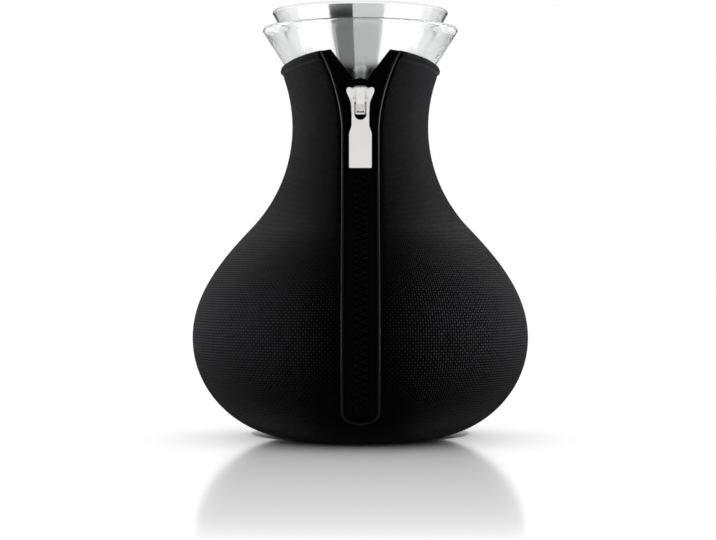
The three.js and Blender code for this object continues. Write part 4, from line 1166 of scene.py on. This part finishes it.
def neck_gasket(outline, funnel):
    """A ring round the collar, with fins that press on the glass neck and a rim that sits on its flare."""
    v = outline.vessel
    bore = COLLAR_RADIUS + FIT
    core = bore + GASKET_CORE
    tip = outline.glass_neck - v.glass_wall - FIT
    foot = funnel.collar_foot + FUNNEL_WALL + FIT
    seat = outline.flare_foot + GASKET_SEAT
    top = seat + GASKET_RIM
    step = (outline.flare_foot - foot) / FIN_COUNT
    fins = foot + step * np.arange(FIN_COUNT)[:, None]
    radii = np.tile([tip, tip, core, core], FIN_COUNT)
    heights = (fins + np.array([0, FIN_HEIGHT / 2, FIN_HEIGHT, step])).ravel()
    reach = v.flare_fillet + v.glass_wall
    rim = outline.glass_neck + v.flare_fillet - math.sqrt(reach**2 - GASKET_SEAT**2) - FIT
    cone = funnel.bead[0] - (funnel.bead[1] - top) * funnel.slope + funnel.half + FIT
    ends = [[rim, seat], [rim, top], [cone, top], [bore, funnel.foot]]
    profile = np.concatenate([[[bore, foot]], np.column_stack([radii, heights]), ends])
    return Shape().grid(lathe(profile, GASKET_SIDES), closed_rows=True, closed_columns=True)


class TEA_OT_vessel(bpy.types.Operator):
    """Makes the glass flask, the polished funnel and its gasket"""

    bl_idname = "tea.vessel"
    bl_label = "Flask and funnel"

    def execute(self, context):
        outline = Outline(context.scene)
        funnel = Funnel(outline)
        add_piece("blown_flask", glass_flask(outline), "jug", "glass", "glass_flask")
        add_piece("spun_funnel", pouring_funnel(funnel), "insert", "polished_steel", "pouring_funnel")
        add_piece("finned_gasket", neck_gasket(outline, funnel), "insert", "silicone", "neck_gasket")
        return {"FINISHED"}


INNER_NODES = ("flap_bracket", "flap_pin", "pour_flap", "egg_spider", "egg_stem", "egg_cap", "egg_cup")


class TEA_OT_insert(bpy.types.Operator):
    """Gives the flap and the tea egg their satin steel"""

    bl_idname = "tea.insert"
    bl_label = "Flap and tea egg"

    def execute(self, context):
        for name in INNER_NODES:
            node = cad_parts[name]
            node.data.materials.clear()
            node.data.materials.append(material_of("satin_steel"))
        return {"FINISHED"}


# Stage


FLARE_CARDS = (  # turns from the front, strengths of the lower and the upper row
    ((-150, -100), 0.75, 0.3),
    ((-100, -90), 0.8, 0.4),
    ((-90, -80), 0.9, 0.6),
    ((-80, -68), 1.0, 0.8),
    ((-68, -55), 1.15, 1.0),
    ((-55, -25), 1.3, 1.3),
    ((-25, -6), 0.18, 0.0),
    ((-6, 19), 0.52, 0.68),
    ((19, 55), 1.3, 1.3),
    ((55, 68), 1.15, 1.0),
    ((68, 80), 1.0, 0.8),
    ((80, 90), 0.9, 0.6),
    ((90, 100), 0.8, 0.4),
    ((100, 150), 0.75, 0.3),
)
FLARE_CARD_HEIGHTS = (0.179, 0.195, 0.2019)
FLARE_CARD_GAP = 0.0004
# Turns from the front to each side, strengths
SIDE_CARDS = (((104, 122), 0.9), ((122, 137), 0.6), ((137, 151), 0.12), ((151, 180), 0.5))
SIDE_CARD_HEIGHTS = np.array([0.13, 0.27])
SIDE_CARD_RADII = np.array([0.12, 0.12])


def card(name, radii, heights, turns, strength):
    """A curved card that only mirrors see: a profile carried about the axis, from one turn to another."""
    material = bpy.data.materials.new(name)
    material.use_nodes = True
    tree = material.node_tree
    tree.nodes.clear()
    glow = add_node(tree, "Emission", {"Color": (1, 1, 1, 1), "Strength": strength})[0]
    add_node(tree, "OutputMaterial", {"Surface": glow})
    points = about_axis(radii[:, None], np.radians(np.linspace(*turns, 24)), heights[:, None])
    made = add_object(name, Shape().grid(points).mesh(name, material))
    made.visible_camera = False
    made.visible_diffuse = False
    made.visible_shadow = False
    made.visible_transmission = False


def flare_cards(outline):
    """Glowing cards just inside the glass flare, in two rows, which paint a reflection of the studio onto the
    cone.

    Without them the cone would mirror the black lining, which lies close in front of it.
    """
    v = outline.vessel
    inset = (v.glass_wall + FLARE_CARD_GAP) / math.cos(v.flare_angle)
    for row in (0, 1):
        heights = np.linspace(*FLARE_CARD_HEIGHTS[row : row + 2], 8)
        radii = outline.glass_radius(heights) - inset
        for number, (turns, *strengths) in enumerate(FLARE_CARDS):
            # Each card is a painted reflection: it glows for mirror rays alone, at the strength of its band
            card(f"flare_card_{row}_{number}", radii, heights, turns, strengths[row])


def side_cards():
    """Cards at both sides, away from the object, which shade the ends of the cone above the glass lip."""
    for number, (turns, strength) in enumerate(SIDE_CARDS):
        for side, word in SIDES:
            ends = sorted(side * turn for turn in turns)
            card(f"{word}_card_{number}", SIDE_CARD_RADII, SIDE_CARD_HEIGHTS, ends, strength)


# Soft boxes at each side, one for the neck and one for the belly: middle, height and watts
SIDE_BOXES = (("upper", 0.17, 0.13, 0.62), ("lower", 0.057, 0.056, 0.34))
SIDE_BOX_ASIDE = 0.3
SIDE_BOX_BEHIND = 0.09
SIDE_BOX_LENGTH = 0.5
SIDE_BOX_SPREAD = math.radians(20)
AIM_BEHIND = 0.03
AIM_ABOVE = 0.01
FLOOR_BOX_HEIGHT = 2.5
FLOOR_BOX_SPAN = 10.0
FLOOR_BOX_POWER = 390.0


def softbox(name, place, aim, size, power, spread, linked, state):
    """A soft box with a grid that limits its spread; it lights linked objects alone, or leaves them out."""
    light = bpy.data.lights.new(name, "AREA")
    light.shape = "RECTANGLE"
    light.size, light.size_y = size
    light.energy = power
    light.spread = spread
    made = add_object(name, light)
    made.location = place
    made.rotation_euler = (Vector(aim) - Vector(place)).to_track_quat("-Z", "Y").to_euler()
    made.visible_camera = False
    made.visible_transmission = False
    links = bpy.data.collections.new(name)
    for item in linked:
        links.objects.link(item)
    for entry in links.collection_objects:
        entry.light_linking.link_state = state
    made.light_linking.receiver_collection = links


def softboxes(scene, floor):
    """Soft boxes at both sides that leave out the metal and the floor, and one above for the floor alone."""
    metals = {material_of(slot) for slot in ("polished_steel", "satin_steel", "nickel")}
    meshes = [item for item in scene.objects if item.type == "MESH"]
    unlit = [floor, *(item for item in meshes if metals.intersection(item.data.materials))]
    for side, word in SIDES:
        for row, middle, height, power in SIDE_BOXES:
            name, size = f"{word}_{row}_softbox", (SIDE_BOX_LENGTH, height)
            place = (side * SIDE_BOX_ASIDE, SIDE_BOX_BEHIND, middle)
            aim = (0, AIM_BEHIND, middle + AIM_ABOVE)
            softbox(name, place, aim, size, power, SIDE_BOX_SPREAD, unlit, "EXCLUDE")
    place, size = (0, 0, FLOOR_BOX_HEIGHT), (FLOOR_BOX_SPAN, FLOOR_BOX_SPAN)
    softbox("floor_softbox", place, (0, 0, 0), size, FLOOR_BOX_POWER, math.pi, [floor], "INCLUDE")


FLOOR_SPAN = 6.0
FLOOR_DROP = 0.0002  # below the flat base
GLOSS = 0.5
GLOSS_NEAR = -0.13  # in front of the object, where the floor's gloss starts to fade
GLOSS_FAR = -0.37  # where it has gone
FOOT_PLACE = 0.03  # middle of the matt patch under the object, behind its axis
FOOT_MATT = 0.055  # radius of the patch
FOOT_GLOSSY = 0.1  # where it has ended
FLOOR_NEAR = 0.4  # radius where the floor starts to fade into the white surroundings
FLOOR_FAR = 0.9  # where it has gone


def glossy_floor(tint):
    """White acrylic: it mirrors the object in front of its foot, and less and less towards the camera.

    Under the object it is matt, so that the shade there stays dark. Far from it, it fades into the white.
    """
    material, tree, shader = new_finish("glossy_floor")
    place = add_node(tree, "TexCoord")["Object"]
    ahead = add_node(tree, "SeparateXYZ", {0: place})["Y"]
    foot = add_node(tree, "VectorMath", {0: place, 1: (0, FOOT_PLACE, 0)}, operation="DISTANCE")["Value"]
    slopes = []
    for at, none, full in ((ahead, GLOSS_FAR, GLOSS_NEAR), (foot, FOOT_MATT, FOOT_GLOSSY)):
        span = {"Value": at, "From Min": none, "From Max": full, "To Max": GLOSS}
        slopes.append(add_node(tree, "MapRange", span)["Result"])
    gloss = add_node(tree, "Math", dict(enumerate(slopes)), operation="MINIMUM")[0]
    fill(shader, {"Base Color": tint, "Roughness": 0.12, "IOR": 1.45, "Specular IOR Level": gloss})
    away = add_node(tree, "VectorMath", {0: place}, operation="LENGTH")["Value"]
    span = {"Value": away, "From Min": FLOOR_NEAR, "From Max": FLOOR_FAR}
    fade = add_node(tree, "MapRange", span)["Result"]
    open_air = add_node(tree, "BsdfTransparent")[0]
    mixed = add_node(tree, "MixShader", {0: fade, 1: shader.outputs[0], 2: open_air})[0]
    fill(tree.nodes["Material Output"], {"Surface": mixed})
    return material


def pale_floor(tint):
    """A level square just under the base."""
    ends = (-FLOOR_SPAN, FLOOR_SPAN)
    x, y = np.meshgrid(ends, ends)
    corners = np.stack([x, y, 0 * x - FLOOR_DROP], axis=-1)
    floor = add_object("floor", Shape().grid(corners).mesh("floor", glossy_floor(tint)))
    floor.visible_diffuse = False
    return floor


# Soft light by the height of its direction: from below, from the sides, from straight above
LIGHT_HEIGHTS = (0.03, 0.26, 0.9)
LIGHT_LEVELS = (0.05, 0.55, 0.08)


def white_studio():
    """Surroundings that are white to the camera, mirrors and glass, and a soft light to everything else."""
    world = bpy.data.worlds.new("studio")
    world.use_nodes = True
    tree = world.node_tree
    tree.nodes.clear()
    path = add_node(tree, "LightPath")
    seen = path["Is Camera Ray"]
    for ray in ("Is Glossy Ray", "Is Transmission Ray"):
        seen = add_node(tree, "Math", {0: seen, 1: path[ray]}, operation="MAXIMUM")[0]
    way = add_node(tree, "TexCoord")["Generated"]
    up = add_node(tree, "SeparateXYZ", {0: way})["Z"]
    levels = []
    for k in (0, 1):
        heights = {"From Min": LIGHT_HEIGHTS[k], "From Max": LIGHT_HEIGHTS[k + 1]}
        span = {"Value": up, **heights, "To Min": LIGHT_LEVELS[k], "To Max": LIGHT_LEVELS[k + 1]}
        levels.append(add_node(tree, "MapRange", span)["Result"])
    level = add_node(tree, "Math", dict(enumerate(levels)), operation="MINIMUM")[0]
    soft = add_node(tree, "Background", {"Color": (1, 1, 1, 1), "Strength": level})[0]
    white = add_node(tree, "Background", {"Color": (1, 1, 1, 1), "Strength": 1.0})[0]
    both = add_node(tree, "MixShader", {0: seen, 1: soft, 2: white})[0]
    add_node(tree, "OutputWorld", {"Surface": both})
    return world


SENSOR_WIDTH = 36  # millimetres


class TEA_OT_stage(bpy.types.Operator):
    """Makes the floor, the white surroundings, the soft lights and the camera"""

    bl_idname = "tea.stage"
    bl_label = "Stage"

    def execute(self, context):
        scene = context.scene
        stage = scene.tea_stage
        scene.view_settings.view_transform = "Standard"
        scene.world = white_studio()
        softboxes(scene, pale_floor(stage.floor[:]))
        flare_cards(Outline(scene))
        side_cards()
        view = bpy.data.cameras.new("camera")
        view.lens = stage.lens
        view.sensor_width = SENSOR_WIDTH
        scene.camera = add_object("camera", view)
        scene.camera.location = (stage.aside, -stage.distance, stage.height)
        scene.camera.rotation_euler = (math.pi / 2, 0, 0)
        return {"FINISHED"}


class TEA_PT_panel(bpy.types.Panel):
    """Lists the steps that build the tea maker"""

    bl_idname = "TEA_PT_panel"
    bl_label = "Tea Maker"
    bl_space_type = "VIEW_3D"
    bl_region_type = "UI"
    bl_category = "Tea Maker"

    def draw(self, context):
        for step in STEPS:
            self.layout.operator(step.bl_idname)


STEPS = (TEA_OT_jacket, TEA_OT_zip, TEA_OT_slider, TEA_OT_vessel, TEA_OT_insert, TEA_OT_stage)
CLASSES = (*GROUPS.values(), *STEPS, TEA_PT_panel)


def register():
    for made in CLASSES:
        bpy.utils.register_class(made)
    for name, group in GROUPS.items():
        setattr(bpy.types.Scene, name, PointerProperty(type=group))


def unregister():
    for name in GROUPS:
        delattr(bpy.types.Scene, name)
    for made in reversed(CLASSES):
        bpy.utils.unregister_class(made)


def main():
    register()
    bpy.ops.tea.jacket()
    bpy.ops.tea.zip()
    bpy.ops.tea.slider()
    bpy.ops.tea.vessel()
    bpy.ops.tea.insert()
    bpy.ops.tea.stage()


if __name__ == "__main__":
    main()
